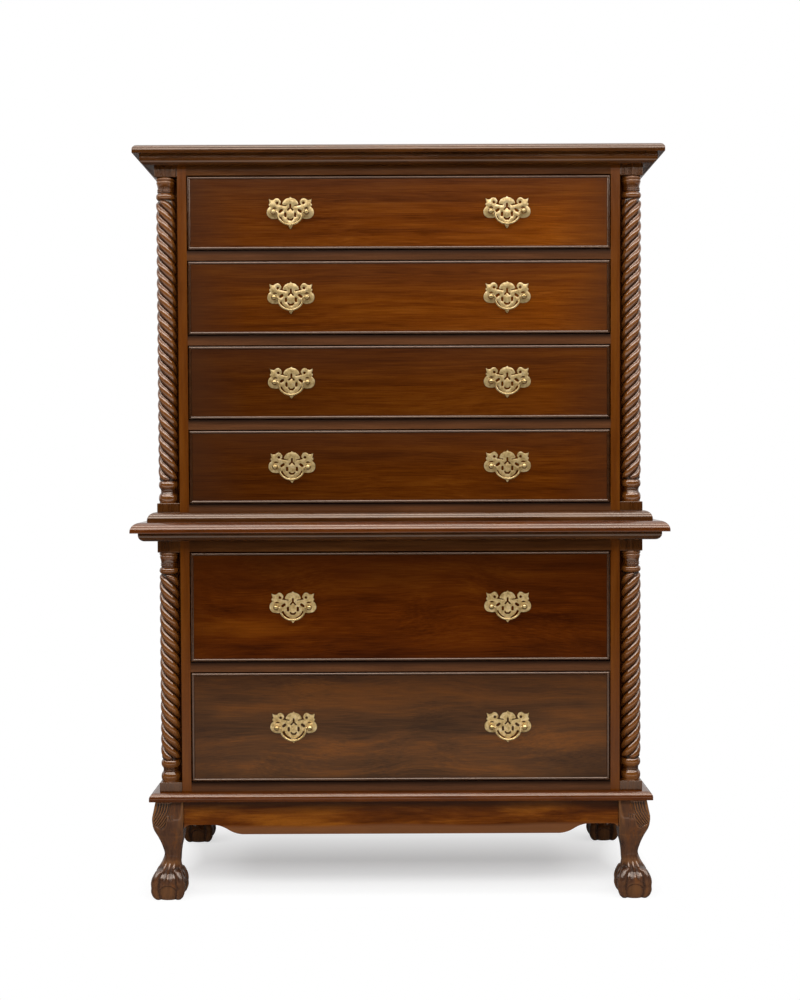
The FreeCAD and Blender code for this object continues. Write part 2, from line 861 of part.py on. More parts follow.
def bail():
    """Hanging handle: pins, small elbows, full sides and a flatter bottom."""
    y = -plate_thickness - ball_stand_off
    end_angle = math.radians(bail_end_angle)
    side_x = bail_half_width - bail_side_radius
    bottom_z = bail_bottom_radius - bail_drop
    gap = bail_bottom_radius - bail_side_radius
    side_z = bottom_z - math.sqrt(gap ** 2 - side_x ** 2)
    elbow = (-side_z - bail_side_radius * math.sin(end_angle)) / (1 + math.sin(end_angle))
    elbow_x = side_x + (bail_side_radius + elbow) * math.cos(end_angle)
    meet = math.atan2(bottom_z - side_z, side_x)

    def on_circle(centre_x, centre_z, radius, angle):
        return Vector(centre_x + radius * math.cos(angle), y, centre_z + radius * math.sin(angle))

    elbow_end = math.pi + end_angle
    elbow_middle = (math.pi / 2 + elbow_end) / 2
    side_middle = (end_angle - meet) / 2
    right = [
        Part.makeLine(Vector(bail_pin_end, y, 0), Vector(elbow_x, y, 0)),
        Part.Arc(
            Vector(elbow_x, y, 0),
            on_circle(elbow_x, -elbow, elbow, elbow_middle),
            on_circle(elbow_x, -elbow, elbow, elbow_end),
        ).toShape(),
        Part.Arc(
            on_circle(side_x, side_z, bail_side_radius, end_angle),
            on_circle(side_x, side_z, bail_side_radius, side_middle),
            on_circle(side_x, side_z, bail_side_radius, -meet),
        ).toShape(),
    ]
    bottom = Part.Arc(
        on_circle(side_x, side_z, bail_side_radius, -meet),
        Vector(0, y, -bail_drop),
        on_circle(-side_x, side_z, bail_side_radius, math.pi + meet),
    ).toShape()
    left = [edge.mirror(Vector(0, 0, 0), Vector(1, 0, 0)) for edge in right]
    path = Part.Wire(Part.__sortEdges__(right + [bottom] + left))
    ring = Part.makeCircle(bail_radius, Vector(bail_pin_end, y, 0), Vector(1, 0, 0))
    return path.makePipeShell([Part.Wire([ring])], True, False)


# ----------------------------------------------------------------- drawers
def drawer_tails(low, high, side_outer):
    """Dovetail tails of the right-hand drawer side, reaching into the front."""
    back_face = face_y + front_thickness
    tail_end = back_face - tail_length
    side_inner = side_outer - drawer_side_thickness
    count = max(int((high - low) / tail_pitch), 1)
    pitch = (high - low) / count
    tails = []
    for index in range(count):
        middle = low + (index + 0.5) * pitch
        root = pitch * tail_root_share
        tip = root + tail_slope
        outline = [
            Vector(side_inner, back_face, middle - root),
            Vector(side_inner, back_face, middle + root),
            Vector(side_inner, tail_end, middle + tip),
            Vector(side_inner, tail_end, middle - tip),
        ]
        tails.append(prism(outline, Vector(drawer_side_thickness, 0, 0)))
    return tails


def bead_strips(bottom, top):
    """Four strips round the front's edge, mitred, with a round nose."""
    half = half_opening - drawer_gap
    seat = face_y + bead_inset
    nose = face_y - bead_proud
    radius = bead_width / 2
    shoulder = nose + radius
    inner_half = half - bead_width
    strips = []

    def strip(place, run, corners):
        edges = [
            Part.makeLine(place(0, seat), place(bead_width, seat)),
            Part.makeLine(place(bead_width, seat), place(bead_width, shoulder)),
            Part.Arc(place(bead_width, shoulder), place(radius, nose), place(0, shoulder)).toShape(),
            Part.makeLine(place(0, shoulder), place(0, seat)),
        ]
        bar = Part.Face(Part.Wire(edges)).extrude(run)
        return bar.common(prism(corners, Vector(0, seat - nose, 0)))

    def corner(x, z):
        return Vector(x, nose, z)

    across = Vector(2 * half, 0, 0)
    upward = Vector(0, 0, top - bottom)
    bottom_corners = [
        corner(-half, bottom),
        corner(half, bottom),
        corner(inner_half, bottom + bead_width),
        corner(-inner_half, bottom + bead_width),
    ]
    top_corners = [
        corner(-half, top),
        corner(half, top),
        corner(inner_half, top - bead_width),
        corner(-inner_half, top - bead_width),
    ]
    right_corners = [
        corner(half, bottom),
        corner(half, top),
        corner(inner_half, top - bead_width),
        corner(inner_half, bottom + bead_width),
    ]
    strips.append(strip(lambda p, y: Vector(-half, y, bottom + p), across, bottom_corners))
    strips.append(strip(lambda p, y: Vector(-half, y, top - p), across, top_corners))
    right = strip(lambda p, y: Vector(half - p, y, bottom), upward, right_corners)
    strips.append(right)
    strips.append(mirrored(right))
    return strips


def drawer_box(opening_bottom, bottom, top, half):
    """Sides with their tails, back and grooved bottom panel."""
    back_face = face_y + front_thickness
    box_end = face_y + drawer_length
    inner = half - drawer_side_thickness
    side_bottom = opening_bottom + slide_clearance
    side_top = top - side_drop
    panel_low = bottom + drawer_bottom_height
    panel_high = panel_low + drawer_bottom_thickness
    panel_half = inner + groove_depth
    panel_front = back_face - groove_depth
    panel = box(-panel_half, panel_half, panel_front, box_end, panel_low, panel_high)
    tails = drawer_tails(bottom + 2 * tail_slope, side_top, half)
    side = joined([box(inner, half, back_face, box_end, side_bottom, side_top)] + tails).cut(panel)
    back = box(-inner, inner, box_end - drawer_back_thickness, box_end, panel_high, top - back_drop)
    return [side, mirrored(side), back, panel]


def drawer_front(bottom, top, half, box_pieces, post_places):
    """Board with a rebated rim for the bead, sockets, groove and post holes."""
    back_face = face_y + front_thickness
    rebate_back = face_y + bead_inset
    board = box(-half, half, face_y, back_face, bottom, top)
    field_half = half - bead_width
    field = box(-field_half, field_half, face_y, rebate_back, bottom + bead_width, top - bead_width)
    rim = box(-half, half, face_y, rebate_back, bottom, top).cut(field)
    board = board.cut(rim)
    for piece in box_pieces:
        board = board.cut(piece)
    for place in post_places:
        start = place - Vector(0, front_thickness / 2, 0)
        radius = post_stem_radius + post_hole_clearance
        board = board.cut(Part.makeCylinder(radius, 2 * front_thickness, start, Vector(0, 1, 0)))
    return board


def moved(shape, place):
    """A copy of a master piece at its place."""
    copy = shape.copy()
    copy.translate(place)
    return copy


def drawer(name, opening_bottom, height):
    """Front, box, plates with posts, and the two bails of one drawer."""
    half = half_opening - drawer_gap
    bottom = opening_bottom + drawer_gap
    top = bottom + height
    pull_z = bottom + height / 2
    half_spacing = Vector(post_spacing / 2, 0, 0)
    pulls = {"left": Vector(-pull_place, face_y, pull_z), "right": Vector(pull_place, face_y, pull_z)}
    fittings = []
    post_places = []
    for label, place in pulls.items():
        fittings.append(moved(pull_plate_master, place))
        for side in (-1, 1):
            spot = place + half_spacing * side
            post_places.append(spot)
            fittings.append(moved(ball_post_masters[side], spot))
            fittings.append(moved(nut_master, spot))
        save(name + "_bail_" + label, [moved(bail_master, place)])
    box_pieces = drawer_box(opening_bottom, bottom, top, half)
    board = drawer_front(bottom, top, half, box_pieces, post_places)
    save(name + "_front", [board] + bead_strips(bottom, top))
    save(name + "_box", box_pieces)
    save(name + "_pull_plates", fittings)


# ---------------------------------------------------------------- assembly
os.makedirs("parts", exist_ok=True)

save("base_board", [moulded_board(base_reach, leg_height, base_board_thickness, base_round)])
save("waist_board", [moulded_board(waist_reach, lower_case_top, waist_board_thickness, waist_round)])
upper_base = moulded_board(upper_base_reach, waist_top, upper_base_thickness, upper_base_round)
save("upper_base_board", [upper_base])
save("top_board", [moulded_board(top_reach, upper_case_top, top_board_thickness, top_round)])
waist_edge = (waist_moulding_height, waist_moulding_round)
save("waist_moulding", mitred_moulding(waist_moulding_reach, lower_case_top, *waist_edge))
save("cornice_moulding", mitred_moulding(cornice_reach, upper_case_top, cornice_height, cornice_round))

lower = (base_top, lower_opening_bottom, lower_pitch, lower_drawer_count)
upper = (upper_case_bottom, upper_opening_bottom, upper_pitch, upper_drawer_count)
save("lower_face_frame", face_frame(lower_case_top, *lower))
save("upper_face_frame", face_frame(upper_case_top, *upper))
save("lower_runners", runners(*lower))
save("upper_runners", runners(*upper))
save("drawer_stops", stops(*lower[1:]) + stops(*upper[1:]))

lower_side = side_board(base_top, lower_case_top)
upper_side = side_board(upper_case_bottom, upper_case_top)
save("lower_side_left", [mirrored(lower_side)])
save("lower_side_right", [lower_side])
save("upper_side_left", [mirrored(upper_side)])
save("upper_side_right", [upper_side])
save("lower_back", [back_panel(base_top, lower_case_top)])
save("upper_back", [back_panel(upper_case_bottom, upper_case_top)])

lower_column = column(base_top, lower_case_top, lower_foot_block, lower_head_block)
upper_column = column(upper_case_bottom, upper_case_top, upper_foot_block, upper_head_block)
save("lower_column_right", [lower_column])
save("lower_column_left", [mirrored(lower_column)])
save("upper_column_right", [upper_column])
save("upper_column_left", [mirrored(upper_column)])

leg_master = leg()
save("leg_front_left", [place_leg(leg_master, True, False)])
save("leg_front_right", [place_leg(leg_master, True, True)])
save("leg_back_left", [place_leg(leg_master, False, False)])
save("leg_back_right", [place_leg(leg_master, False, True)])

right_apron = side_apron()
save("front_apron", [front_apron()])
save("side_apron_right", [right_apron])
save("side_apron_left", [mirrored(right_apron)])
save("rear_apron", [rear_apron()])
save("corner_blocks", corner_blocks())

pull_plate_master = pull_plate()
nut_master = nut()
bail_master = bail()
ball_post_masters = {side: ball_post().cut(bail_hole(side)) for side in (-1, 1)}

number = 1
for level in reversed(range(upper_drawer_count)):
    drawer("drawer_%d" % number, upper_opening_bottom + level * upper_pitch, upper_drawer_height)
    number += 1
for level in reversed(range(lower_drawer_count)):
    drawer("drawer_%d" % number, lower_opening_bottom + level * lower_pitch, lower_drawer_height)
    number += 1

print("overall width", 2 * (half_case + waist_reach), "depth", overall_depth, "height", overall_height)
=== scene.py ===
import math

import bpy
import numpy as np
from mathutils import Matrix, Vector
from mathutils.geometry import delaunay_2d_cdt


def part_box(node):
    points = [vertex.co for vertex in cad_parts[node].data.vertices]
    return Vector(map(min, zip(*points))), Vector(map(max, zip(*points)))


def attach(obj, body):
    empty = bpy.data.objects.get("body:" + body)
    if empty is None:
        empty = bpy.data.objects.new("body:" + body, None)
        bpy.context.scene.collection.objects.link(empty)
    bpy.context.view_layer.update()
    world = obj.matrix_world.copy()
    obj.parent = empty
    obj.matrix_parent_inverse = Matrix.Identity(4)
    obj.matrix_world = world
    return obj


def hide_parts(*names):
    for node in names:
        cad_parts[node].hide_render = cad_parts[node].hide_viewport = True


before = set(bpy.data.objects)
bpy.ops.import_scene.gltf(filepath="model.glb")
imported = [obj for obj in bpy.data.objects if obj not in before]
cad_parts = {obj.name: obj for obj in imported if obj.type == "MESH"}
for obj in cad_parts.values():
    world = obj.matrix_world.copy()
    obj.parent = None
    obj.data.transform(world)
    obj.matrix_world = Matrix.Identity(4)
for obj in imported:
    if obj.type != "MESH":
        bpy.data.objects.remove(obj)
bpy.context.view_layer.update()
print("frame loaded")

mm = 0.001  # shapes are worked out in millimetres in the frame's axes, and meshPiece turns them into metres
support = 0.4  # extra points stand this far from a rounded edge, so that flat faces stay flat


def nodeBox(node):
    # A node's lowest and highest corner in millimetres
    low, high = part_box(node)
    return np.array(low) / mm, np.array(high) / mm


def smoothStep(low, high, value):
    # 3t^2 - 2t^3 with t running from 0 to 1 between low and high
    share = np.clip((value - low) / (high - low), 0, 1)
    return share * share * (3 - 2 * share)


def smoothMax(one, other, width):
    # The larger of two values, blended where they differ by less than width
    share = np.clip(0.5 + 0.5 * (one - other) / width, 0, 1)
    return other + (one - other) * share + width * share * (1 - share)


def curveThrough(stations, place):
    # Cubic Hermite curve through (place, value) stations, slopes from the neighbours
    places = np.array([station[0] for station in stations], float)
    values = np.array([station[1] for station in stations], float)
    slopes = np.gradient(values, places)
    place = np.clip(place, places[0], places[-1])
    index = np.clip(np.searchsorted(places, place, side="right") - 1, 0, len(places) - 2)
    width = places[index + 1] - places[index]
    t = (place - places[index]) / width
    start = (1 + 2 * t) * (1 - t) ** 2 * values[index] + t * (1 - t) ** 2 * width * slopes[index]
    end = t**2 * (3 - 2 * t) * values[index + 1] + t**2 * (t - 1) * width * slopes[index + 1]
    return start + end


def hump(value, width):
    # e to the power of minus (value / width) squared
    return np.exp(-((value / width) ** 2))


def between(value, low, full, fullEnd, high):
    # 1 between full and fullEnd, fading out towards low and high
    return smoothStep(low, full, value) * smoothStep(high, fullEnd, value)


def arcThrough(first, middle, last, steps):
    # Circle through three points of a plane: centre + (first - centre) turned step by step to the last
    a, b, c = (complex(*point) for point in (first, middle, last))
    share = (c - a) / (b - a)
    centre = a + (b - a) * (share - abs(share) ** 2) / (2j * share.imag)
    half, full = (np.angle((point - centre) / (a - centre)) % (2 * math.pi) for point in (b, c))
    if half > full:
        full -= 2 * math.pi
    arc = centre + (a - centre) * np.exp(1j * full * np.linspace(0, 1, steps + 1))
    return np.column_stack([arc.real, arc.imag])


def joinedPath(parts):
    # One path from several, a point that two neighbours share kept once
    path = np.concatenate(parts)
    return path[np.append(True, np.abs(np.diff(path, axis=0)).max(axis=1) > 1e-6)]


def arcsThrough(points, steps):
    # Arcs end to end through points 1-2-3, 3-4-5 and so on
    return joinedPath([arcThrough(*points[i : i + 3], steps) for i in range(0, len(points) - 2, 2)])


def facedOut(points, faceSets):
    # Signed volume = sum of p0 . (pi x pj) over the fans of all faces; a negative one is turned over
    volume = 0.0
    for corners in faceSets:
        place = points[corners]
        volume += np.sum(place[:, :1] * np.cross(place[:, 1:-1], place[:, 2:]))
    if volume < 0:
        faceSets = [corners[:, ::-1] for corners in faceSets]
    return points, faceSets


def gridShell(grid, roundRows=False):
    # Closed skin over a grid of points: columns run round; rows run round too or end in flat caps
    rows, columns = grid.shape[:2]
    index = np.arange(rows * columns).reshape(rows, columns)
    following = np.roll(index, -1, axis=1)
    if roundRows:
        nextRow, nextFollowing = np.roll(index, -1, axis=0), np.roll(following, -1, axis=0)
        caps = []
    else:
        nextRow, nextFollowing = index[1:], following[1:]
        index, following = index[:-1], following[:-1]
        caps = [index[:1, ::-1], nextRow[-1:]]
    quads = np.stack([index, following, nextFollowing, nextRow], axis=-1).reshape(-1, 4)
    return facedOut(grid.reshape(-1, 3), [quads] + caps)


def mergedShells(shells):
    # Several shells as one, the corner numbers of each moved on by the points before it
    points, faceSets, count = [], [], 0
    for shellPoints, shellFaces in shells:
        points.append(shellPoints)
        faceSets += [corners + count for corners in shellFaces]
        count += len(shellPoints)
    return np.concatenate(points), faceSets


def flipped(shell, axis):
    # Mirror image of a shell across the plane where the axis is nought
    points = shell[0].copy()
    points[:, axis] *= -1
    return facedOut(points, shell[1])


def shifted(shell, offset):
    # The same shell moved by the offset
    return shell[0] + np.array(offset, float), shell[1]


def prismShell(outline, run):
    # Straight prism: the outline in space and the same moved along the run
    outline = np.asarray(outline, float)
    return gridShell(np.stack([outline, outline + np.array(run, float)]))


def roundedRing(x0, x1, y0, y1, radius):
    # Rectangle with four corner arcs: centre + r (cos t, sin t), a support point either side
    arc = radius * np.exp(1j * np.linspace(0, math.pi / 2, 4))
    corner = np.array([radius - support * 1j, *arc, radius * 1j - support])
    left, right, bottom, top = x0 + radius, x1 - radius, y0 + radius, y1 - radius
    centres = (right + top * 1j, left + top * 1j, left + bottom * 1j, right + bottom * 1j)
    ring = np.concatenate([centre + corner * 1j**turn for turn, centre in enumerate(centres)])
    return np.column_stack([ring.real, ring.imag])


def ringShell(x0, x1, y0, y1, heights, radii, order=(0, 1, 2), roundRows=False):
    # Stack of rounded rectangles, one for each height; order says which axis each measure runs along
    rings = []
    for *sides, height, radius in np.broadcast(x0, x1, y0, y1, heights, radii):
        ring = roundedRing(*sides, radius)
        rings.append(np.column_stack([ring, np.full(len(ring), height)])[:, order])
    return gridShell(np.stack(rings), roundRows)


def softBox(low, high, edge):
    # Box with all its edges rounded by the same small radius
    steps = np.linspace(0, math.pi / 2, 4)
    insets = np.array([edge + support, *(edge * (1 - np.sin(steps))), 0])
    heights = np.array([0, *(edge * (1 - np.cos(steps))), edge + support])
    insets, heights = np.append(insets, insets[::-1]), np.append(low[2] + heights, high[2] - heights[::-1])
    corners = np.maximum(edge - 0.5 * insets, 0.5 * edge)
    return ringShell(low[0] + insets, high[0] - insets, low[1] + insets, high[1] - insets, heights, corners)


def latheShell(profile, columns, alongY=False):
    # Turned shape: (r cos a, r sin a) round the axis for each (radius, distance) of the profile
    profile = np.asarray(profile, float)
    angle = np.linspace(0, 2 * math.pi, columns, endpoint=False)
    radius = np.maximum(profile[:, :1], 0.02)
    one, other = radius * np.cos(angle), radius * np.sin(angle)
    along = np.broadcast_to(profile[:, 1:], one.shape)
    return gridShell(np.stack((one, along, other) if alongY else (one, other, along), axis=-1))


def linked(name, data):
    # A new object in the scene
    item = bpy.data.objects.new(name, data)
    bpy.context.scene.collection.objects.link(item)
    return item


def meshPiece(
    name, shell, materials, replaced=None, body="carcase",
    sharp=40, relief=None, pick=None, bevel=None,
):
    # One object from a shell; pick gives each face its material number from the face's middle
    points, faceSets = shell
    mesh = bpy.data.meshes.new(name)
    mesh.from_pydata(points * mm, [], [face for part in faceSets for face in part.tolist()])
    for material in materials:
        mesh.materials.append(material)
    if pick:
        middles = np.concatenate([points[part].mean(axis=1) for part in faceSets])
        mesh.polygons.foreach_set("material_index", pick(middles).astype(np.int32))
    if relief is not None:
        mesh.attributes.new("relief", "FLOAT", "POINT").data.foreach_set("value", relief.astype(np.float32))
    mesh.update(calc_edges=True)
    mesh.validate()
    mesh.shade_smooth()
    if not bevel:
        mesh.set_sharp_from_angle(angle=math.radians(sharp))
    piece = linked(name, mesh)
    if bevel:
        modifier = piece.modifiers.new("softEdges", "BEVEL")
        modifier.width = bevel * mm
        modifier.segments = 2
        modifier.limit_method = "ANGLE"
        modifier.angle_limit = math.radians(35)
        modifier.harden_normals = True
    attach(piece, body)
    if replaced:
        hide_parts(replaced)


def dressNode(node, material):
    # One of the frame's own nodes keeps its shape and gets this material
    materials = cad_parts[node].data.materials
    materials.clear()
    materials.append(material)


def outside(low, high):
    # Picks the second material below one level and above another
    return lambda middles: ((middles[:, 2] < low) | (middles[:, 2] > high)).astype(int)


class Wiring:
    # Small help for wiring the nodes of a material or a world
    def __init__(self, owner):
        owner.use_nodes = True
        self.owner = owner
        self.tree = owner.node_tree

    def put(self, socket, value):
        # A link or a plain value; a plain colour gets its alpha here
        if isinstance(value, bpy.types.NodeSocket):
            self.tree.links.new(value, socket)
        else:
            socket.default_value = (*value, 1) if socket.type == "RGBA" else value

    def node(self, kind, inputs=None, **settings):
        node = self.tree.nodes.new("ShaderNode" + kind)
        for key, value in settings.items():
            setattr(node, key, value)
        for key, value in (inputs or {}).items():
            self.put(node.inputs[key], value)
        return node

    def out(self, kind, inputs, **settings):
        return self.node(kind, inputs, **settings).outputs[0]

    def objectPlace(self):
        return self.node("TexCoord").outputs["Object"]

    def parts(self, vector):
        return self.node("SeparateXYZ", {0: vector}).outputs

    def maths(self, operation, one, other=0.0, clamp=False):
        return self.out("Math", {0: one, 1: other}, operation=operation, use_clamp=clamp)

    def plus(self, one, other):
        return self.maths("ADD", one, other)

    def minus(self, one, other):
        return self.maths("SUBTRACT", one, other)

    def times(self, one, other):
        return self.maths("MULTIPLY", one, other)

    def larger(self, one, other):
        return self.maths("MAXIMUM", one, other)

    def noise(self, vector, scale, detail=2.0, roughness=0.5, distortion=0.0):
        inputs = {"Vector": self.moved(vector, scale), "Scale": 1.0, "Detail": detail, "Roughness": roughness}
        return self.out("TexNoise", {**inputs, "Distortion": distortion})

    def moved(self, vector, scale, offset=(0, 0, 0)):
        return self.out("Mapping", {"Vector": vector, "Scale": scale, "Location": offset})

    def ranged(self, value, fromLow, fromHigh, toLow, toHigh):
        return self.out("MapRange", {0: value, 1: fromLow, 2: fromHigh, 3: toLow, 4: toHigh})

    def ramp(self, factor, look):
        # The dark, middle and light tones, spread evenly round a factor of a half
        node = self.node("ValToRGB", {"Fac": factor})
        elements = node.color_ramp.elements
        elements.new(0.5)
        for element, colour, side in zip(elements, look["tones"], (-1, 0, 1)):
            element.position = 0.5 + side * look["spread"]
            element.color = (*colour, 1)
        return node.outputs[0]

    def mixed(self, factor, one, other, blend="MIX"):
        inputs = {0: factor, 6: one, 7: other}
        return self.node("Mix", inputs, data_type="RGBA", blend_type=blend).outputs[2]

    def shaded(self, colour, shade):
        grey = self.out("CombineXYZ", {0: shade, 1: shade, 2: shade})
        return self.mixed(1.0, colour, grey, "MULTIPLY")

    def bumped(self, height, strength, distance):
        return self.out("Bump", {"Strength": strength, "Distance": distance, "Height": height})

    def blended(self, factor, one, other):
        return self.out("MixShader", {0: factor, 1: one, 2: other})

    def finished(self, inputs):
        shader = self.tree.nodes["Principled BSDF"]
        for key, value in inputs.items():
            self.put(shader.inputs[key], value)
        return self.owner


# What all woods share: noise cells per metre along the grain and across it, and how they are read
woodGrain = {
    "sway": (3, 7, 7), "streak": (14, 620, 620), "blotch": (5, 9, 9), "pores": (190, 3600, 3600),
    "poreZone": (0.58, 0.7), "poreDark": 0.35, "glossRange": (-0.05, 0.07), "dullGroove": 0.25,
    "endZone": (0.72, 1.0), "upperZone": (-0.1, 1.0), "lowerZone": (-0.88, -1.0),
    "edgeClouds": (0.3, 0.7, 0.65, 1.0),
}


def paintedShadeOnFront(wood, place, blotch, colour, look, field):
    # Painted shade along the top, where the rail or moulding above shades the front; darker at the ends and
    # along the lower edge; and a painted light that makes it lighter towards one side
    halfWidth, middle, halfHeight = field
    across = wood.maths("DIVIDE", place[0], halfWidth)
    ends = wood.ranged(wood.maths("ABSOLUTE", across), *woodGrain["endZone"], 0.0, look["ends"])
    rise = wood.maths("DIVIDE", wood.minus(place[2], middle), halfHeight)
    upper = wood.ranged(rise, *woodGrain["upperZone"], 0.0, look["upper"])
    lower = wood.ranged(rise, *woodGrain["lowerZone"], 0.0, look["ends"])
    edge = wood.larger(wood.larger(ends, lower), upper)
    edge = wood.times(edge, wood.ranged(blotch, *woodGrain["edgeClouds"]))
    colour = wood.shaded(colour, wood.plus(wood.times(across, look["lean"]), 1.0))
    return wood.mixed(edge, colour, look["edge"])


def paintedShadeApron(wood, place, sway, colour, look, span):
    # Painted shadow under the moulding above, warm in the middle, and a painted reflection of the floor
    # lighter along the lower edge
    swell = wood.times(wood.minus(sway, 0.5), look["swell"])
    height = wood.ranged(wood.plus(place[2], swell), *span, 0.0, 1.0)
    colour = wood.mixed(wood.ranged(height, *look["paintedShadeZone"]), colour, look["top"])
    return wood.mixed(wood.ranged(height, *look["paintedReflectionZone"]), colour, look["foot"])


def paintedLightAndWearRelief(wood, colour, look):
    # The mesh's own mark runs from 0 in a groove to 1 on a ridge; ridges get wear and painted highlight,
    # grooves painted shade and duller gloss
    mark = wood.node("Attribute", attribute_name="relief").outputs["Fac"]
    wearAndHighlight = wood.maths("MULTIPLY", wood.minus(mark, 0.5), 2.0, True)
    paintedGrooveShade = wood.maths("MULTIPLY", wood.minus(0.5, mark), 2.0, True)
    colour = wood.mixed(wood.times(wearAndHighlight, look["wearAndHighlight"]), colour, look["ridge"])
    colour = wood.mixed(wood.times(paintedGrooveShade, look["paintedGrooveShade"]), colour, look["groove"])
    return colour, wood.times(paintedGrooveShade, woodGrain["dullGroove"])


def woodMaterial(name, grain, look, seed, relief=False, field=None, span=None):
    # Streaked wood: bands, fine streaks and pores are noises stretched along the grain axis
    wood = Wiring(bpy.data.materials.new(name))
    place = wood.parts(wood.objectPlace())
    order = {"X": (0, 1, 2), "Y": (1, 0, 2), "Z": (2, 0, 1)}[grain]
    turned = wood.out("CombineXYZ", {i: place[axis] for i, axis in enumerate(order)})
    along = wood.moved(turned, (1, 1, 1), (seed * 1.7, seed * 0.9, seed * 0.4))
    sway = wood.noise(along, woodGrain["sway"], 1.0)
    shift = wood.times(sway, look["sway"])
    shift = wood.out("CombineXYZ", {0: 0.0, 1: shift, 2: shift})
    bent = wood.out("VectorMath", {0: along, 1: shift}, operation="ADD")
    length, width = look["bands"]
    band = wood.noise(bent, (length, width, width), 4.0, 0.66, 0.4)
    streak = wood.noise(bent, woodGrain["streak"], 3.0, 0.6)
    blotch = wood.noise(along, woodGrain["blotch"])
    pores = wood.noise(along, woodGrain["pores"], 1.0)
    blotchShare = 1 - look["bandShare"] - look["streakShare"]
    factor = wood.plus(wood.times(band, look["bandShare"]), wood.times(streak, look["streakShare"]))
    factor = wood.plus(factor, wood.times(blotch, blotchShare))
    poreShade = wood.ranged(pores, *woodGrain["poreZone"], 0.0, look["pores"])
    poreTone = [part * woodGrain["poreDark"] for part in look["tones"][0]]
    colour = wood.mixed(poreShade, wood.ramp(factor, look), poreTone)
    if field:
        colour = paintedShadeOnFront(wood, place, blotch, colour, look, field)
    if span:
        colour = paintedShadeApron(wood, place, sway, colour, look, span)
    rough = wood.ranged(streak, 0.3, 0.7, *[look["gloss"] + part for part in woodGrain["glossRange"]])
    if relief:
        colour, duller = paintedLightAndWearRelief(wood, colour, look)
        rough = wood.plus(rough, duller)
    height = wood.minus(wood.times(streak, 0.5), poreShade)
    return wood.finished({
        "Base Color": colour,
        "Roughness": rough,
        "Specular IOR Level": look["shine"],
        "IOR": look["index"],
        "Specular Tint": look["varnish"],
        "Normal": wood.bumped(height, look["bump"], 0.0003),
    })


def brassMaterial(name, look):
    # Cast brass: cloudy tarnish and rubbed spots vary its colour and gloss
    brass = Wiring(bpy.data.materials.new(name))
    place = brass.objectPlace()
    cloud = brass.noise(place, [look["cloud"]] * 3, 3.0, 0.6)
    fine = brass.noise(place, [look["fine"]] * 3, 2.0, 0.6)
    factor = brass.plus(brass.times(cloud, look["cloudShare"]), brass.times(fine, 1 - look["cloudShare"]))
    # Painted light: the lower pulls are brighter than the upper ones
    paintedLightByHeight = brass.ranged(brass.parts(place)[2], *look["paintedLightByHeight"])
    return brass.finished({
        "Base Color": brass.shaded(brass.ramp(factor, look), paintedLightByHeight),
        "Metallic": look["metal"],
        "Roughness": brass.ranged(factor, 0.35, 0.65, look["gloss"] + 0.12, look["gloss"] - 0.04),
        "Normal": brass.bumped(fine, look["bump"], 0.0002),
    })


# Tones are the dark, middle and light streaks; a later look changes only what it names
mahogany = {
    "spread": 0.19, "bands": (5.0, 70.0), "bandShare": 0.5, "streakShare": 0.26, "sway": 0.01,
    "pores": 0.45, "gloss": 0.15, "shine": 0.95, "varnish": (1.0, 0.82, 0.68), "index": 1.55,
    # ridge is the colour of wear and painted highlight on ridges, groove the colour of painted shade in
    # hollows
    "bump": 0.05, "wearAndHighlight": 0.75, "ridge": (0.2, 0.086, 0.028), "paintedGrooveShade": 0.92,
    "groove": (0.007, 0.0022, 0.0008),
    "tones": ((0.028, 0.007, 0.0005), (0.064, 0.018, 0.0016), (0.112, 0.0365, 0.0055)),
}
warmLook = {**mahogany, "tones": ((0.044, 0.009, 0.0005), (0.1, 0.0215, 0.001), (0.17, 0.046, 0.004))}
railLook = {
    **mahogany, "shine": 0.12, "gloss": 0.2, "wearAndHighlight": 0.0, "groove": (0.008, 0.002, 0.0005),
    "tones": ((0.052, 0.021, 0.009), (0.092, 0.034, 0.013), (0.134, 0.051, 0.019)),
}
# The rail under a moulding gets darker tones as painted shade
shadedRailLook = {**railLook, "tones": ((0.03, 0.009, 0.002), (0.07, 0.022, 0.005), (0.118, 0.041, 0.009))}
stileLook = {
    **mahogany, "shine": 0.3, "gloss": 0.2,
    "tones": ((0.066, 0.0145, 0.0006), (0.116, 0.029, 0.0014), (0.164, 0.048, 0.003)),
}
# In the fronts' looks, upper sets a painted shade along the top and lean a painted light towards one side;
# ends and edge darken the ends and the lower edge
drawerLook = {
    **mahogany, "spread": 0.14, "bands": (2.4, 60.0), "bandShare": 0.46, "streakShare": 0.4,
    "sway": 0.022, "pores": 0.35, "gloss": 0.2, "shine": 0.12, "index": 1.5, "ends": 0.7,
    "upper": 0.55, "lean": 0.3, "edge": (0.044, 0.0165, 0.0075),
    "tones": ((0.06, 0.0115, 0.0003), (0.122, 0.0262, 0.0006), (0.184, 0.048, 0.002)),
}
lowerLook = {
    **drawerLook, "spread": 0.13, "bands": (2.0, 22.0), "bandShare": 0.56, "streakShare": 0.26,
    "sway": 0.05, "shine": 0.09, "ends": 0.35, "upper": 0.85, "lean": 0.0,
    "edge": (0.022, 0.005, 0.0008),
    "tones": ((0.034, 0.0055, 0.0002), (0.088, 0.0165, 0.0005), (0.15, 0.036, 0.0016)),
}
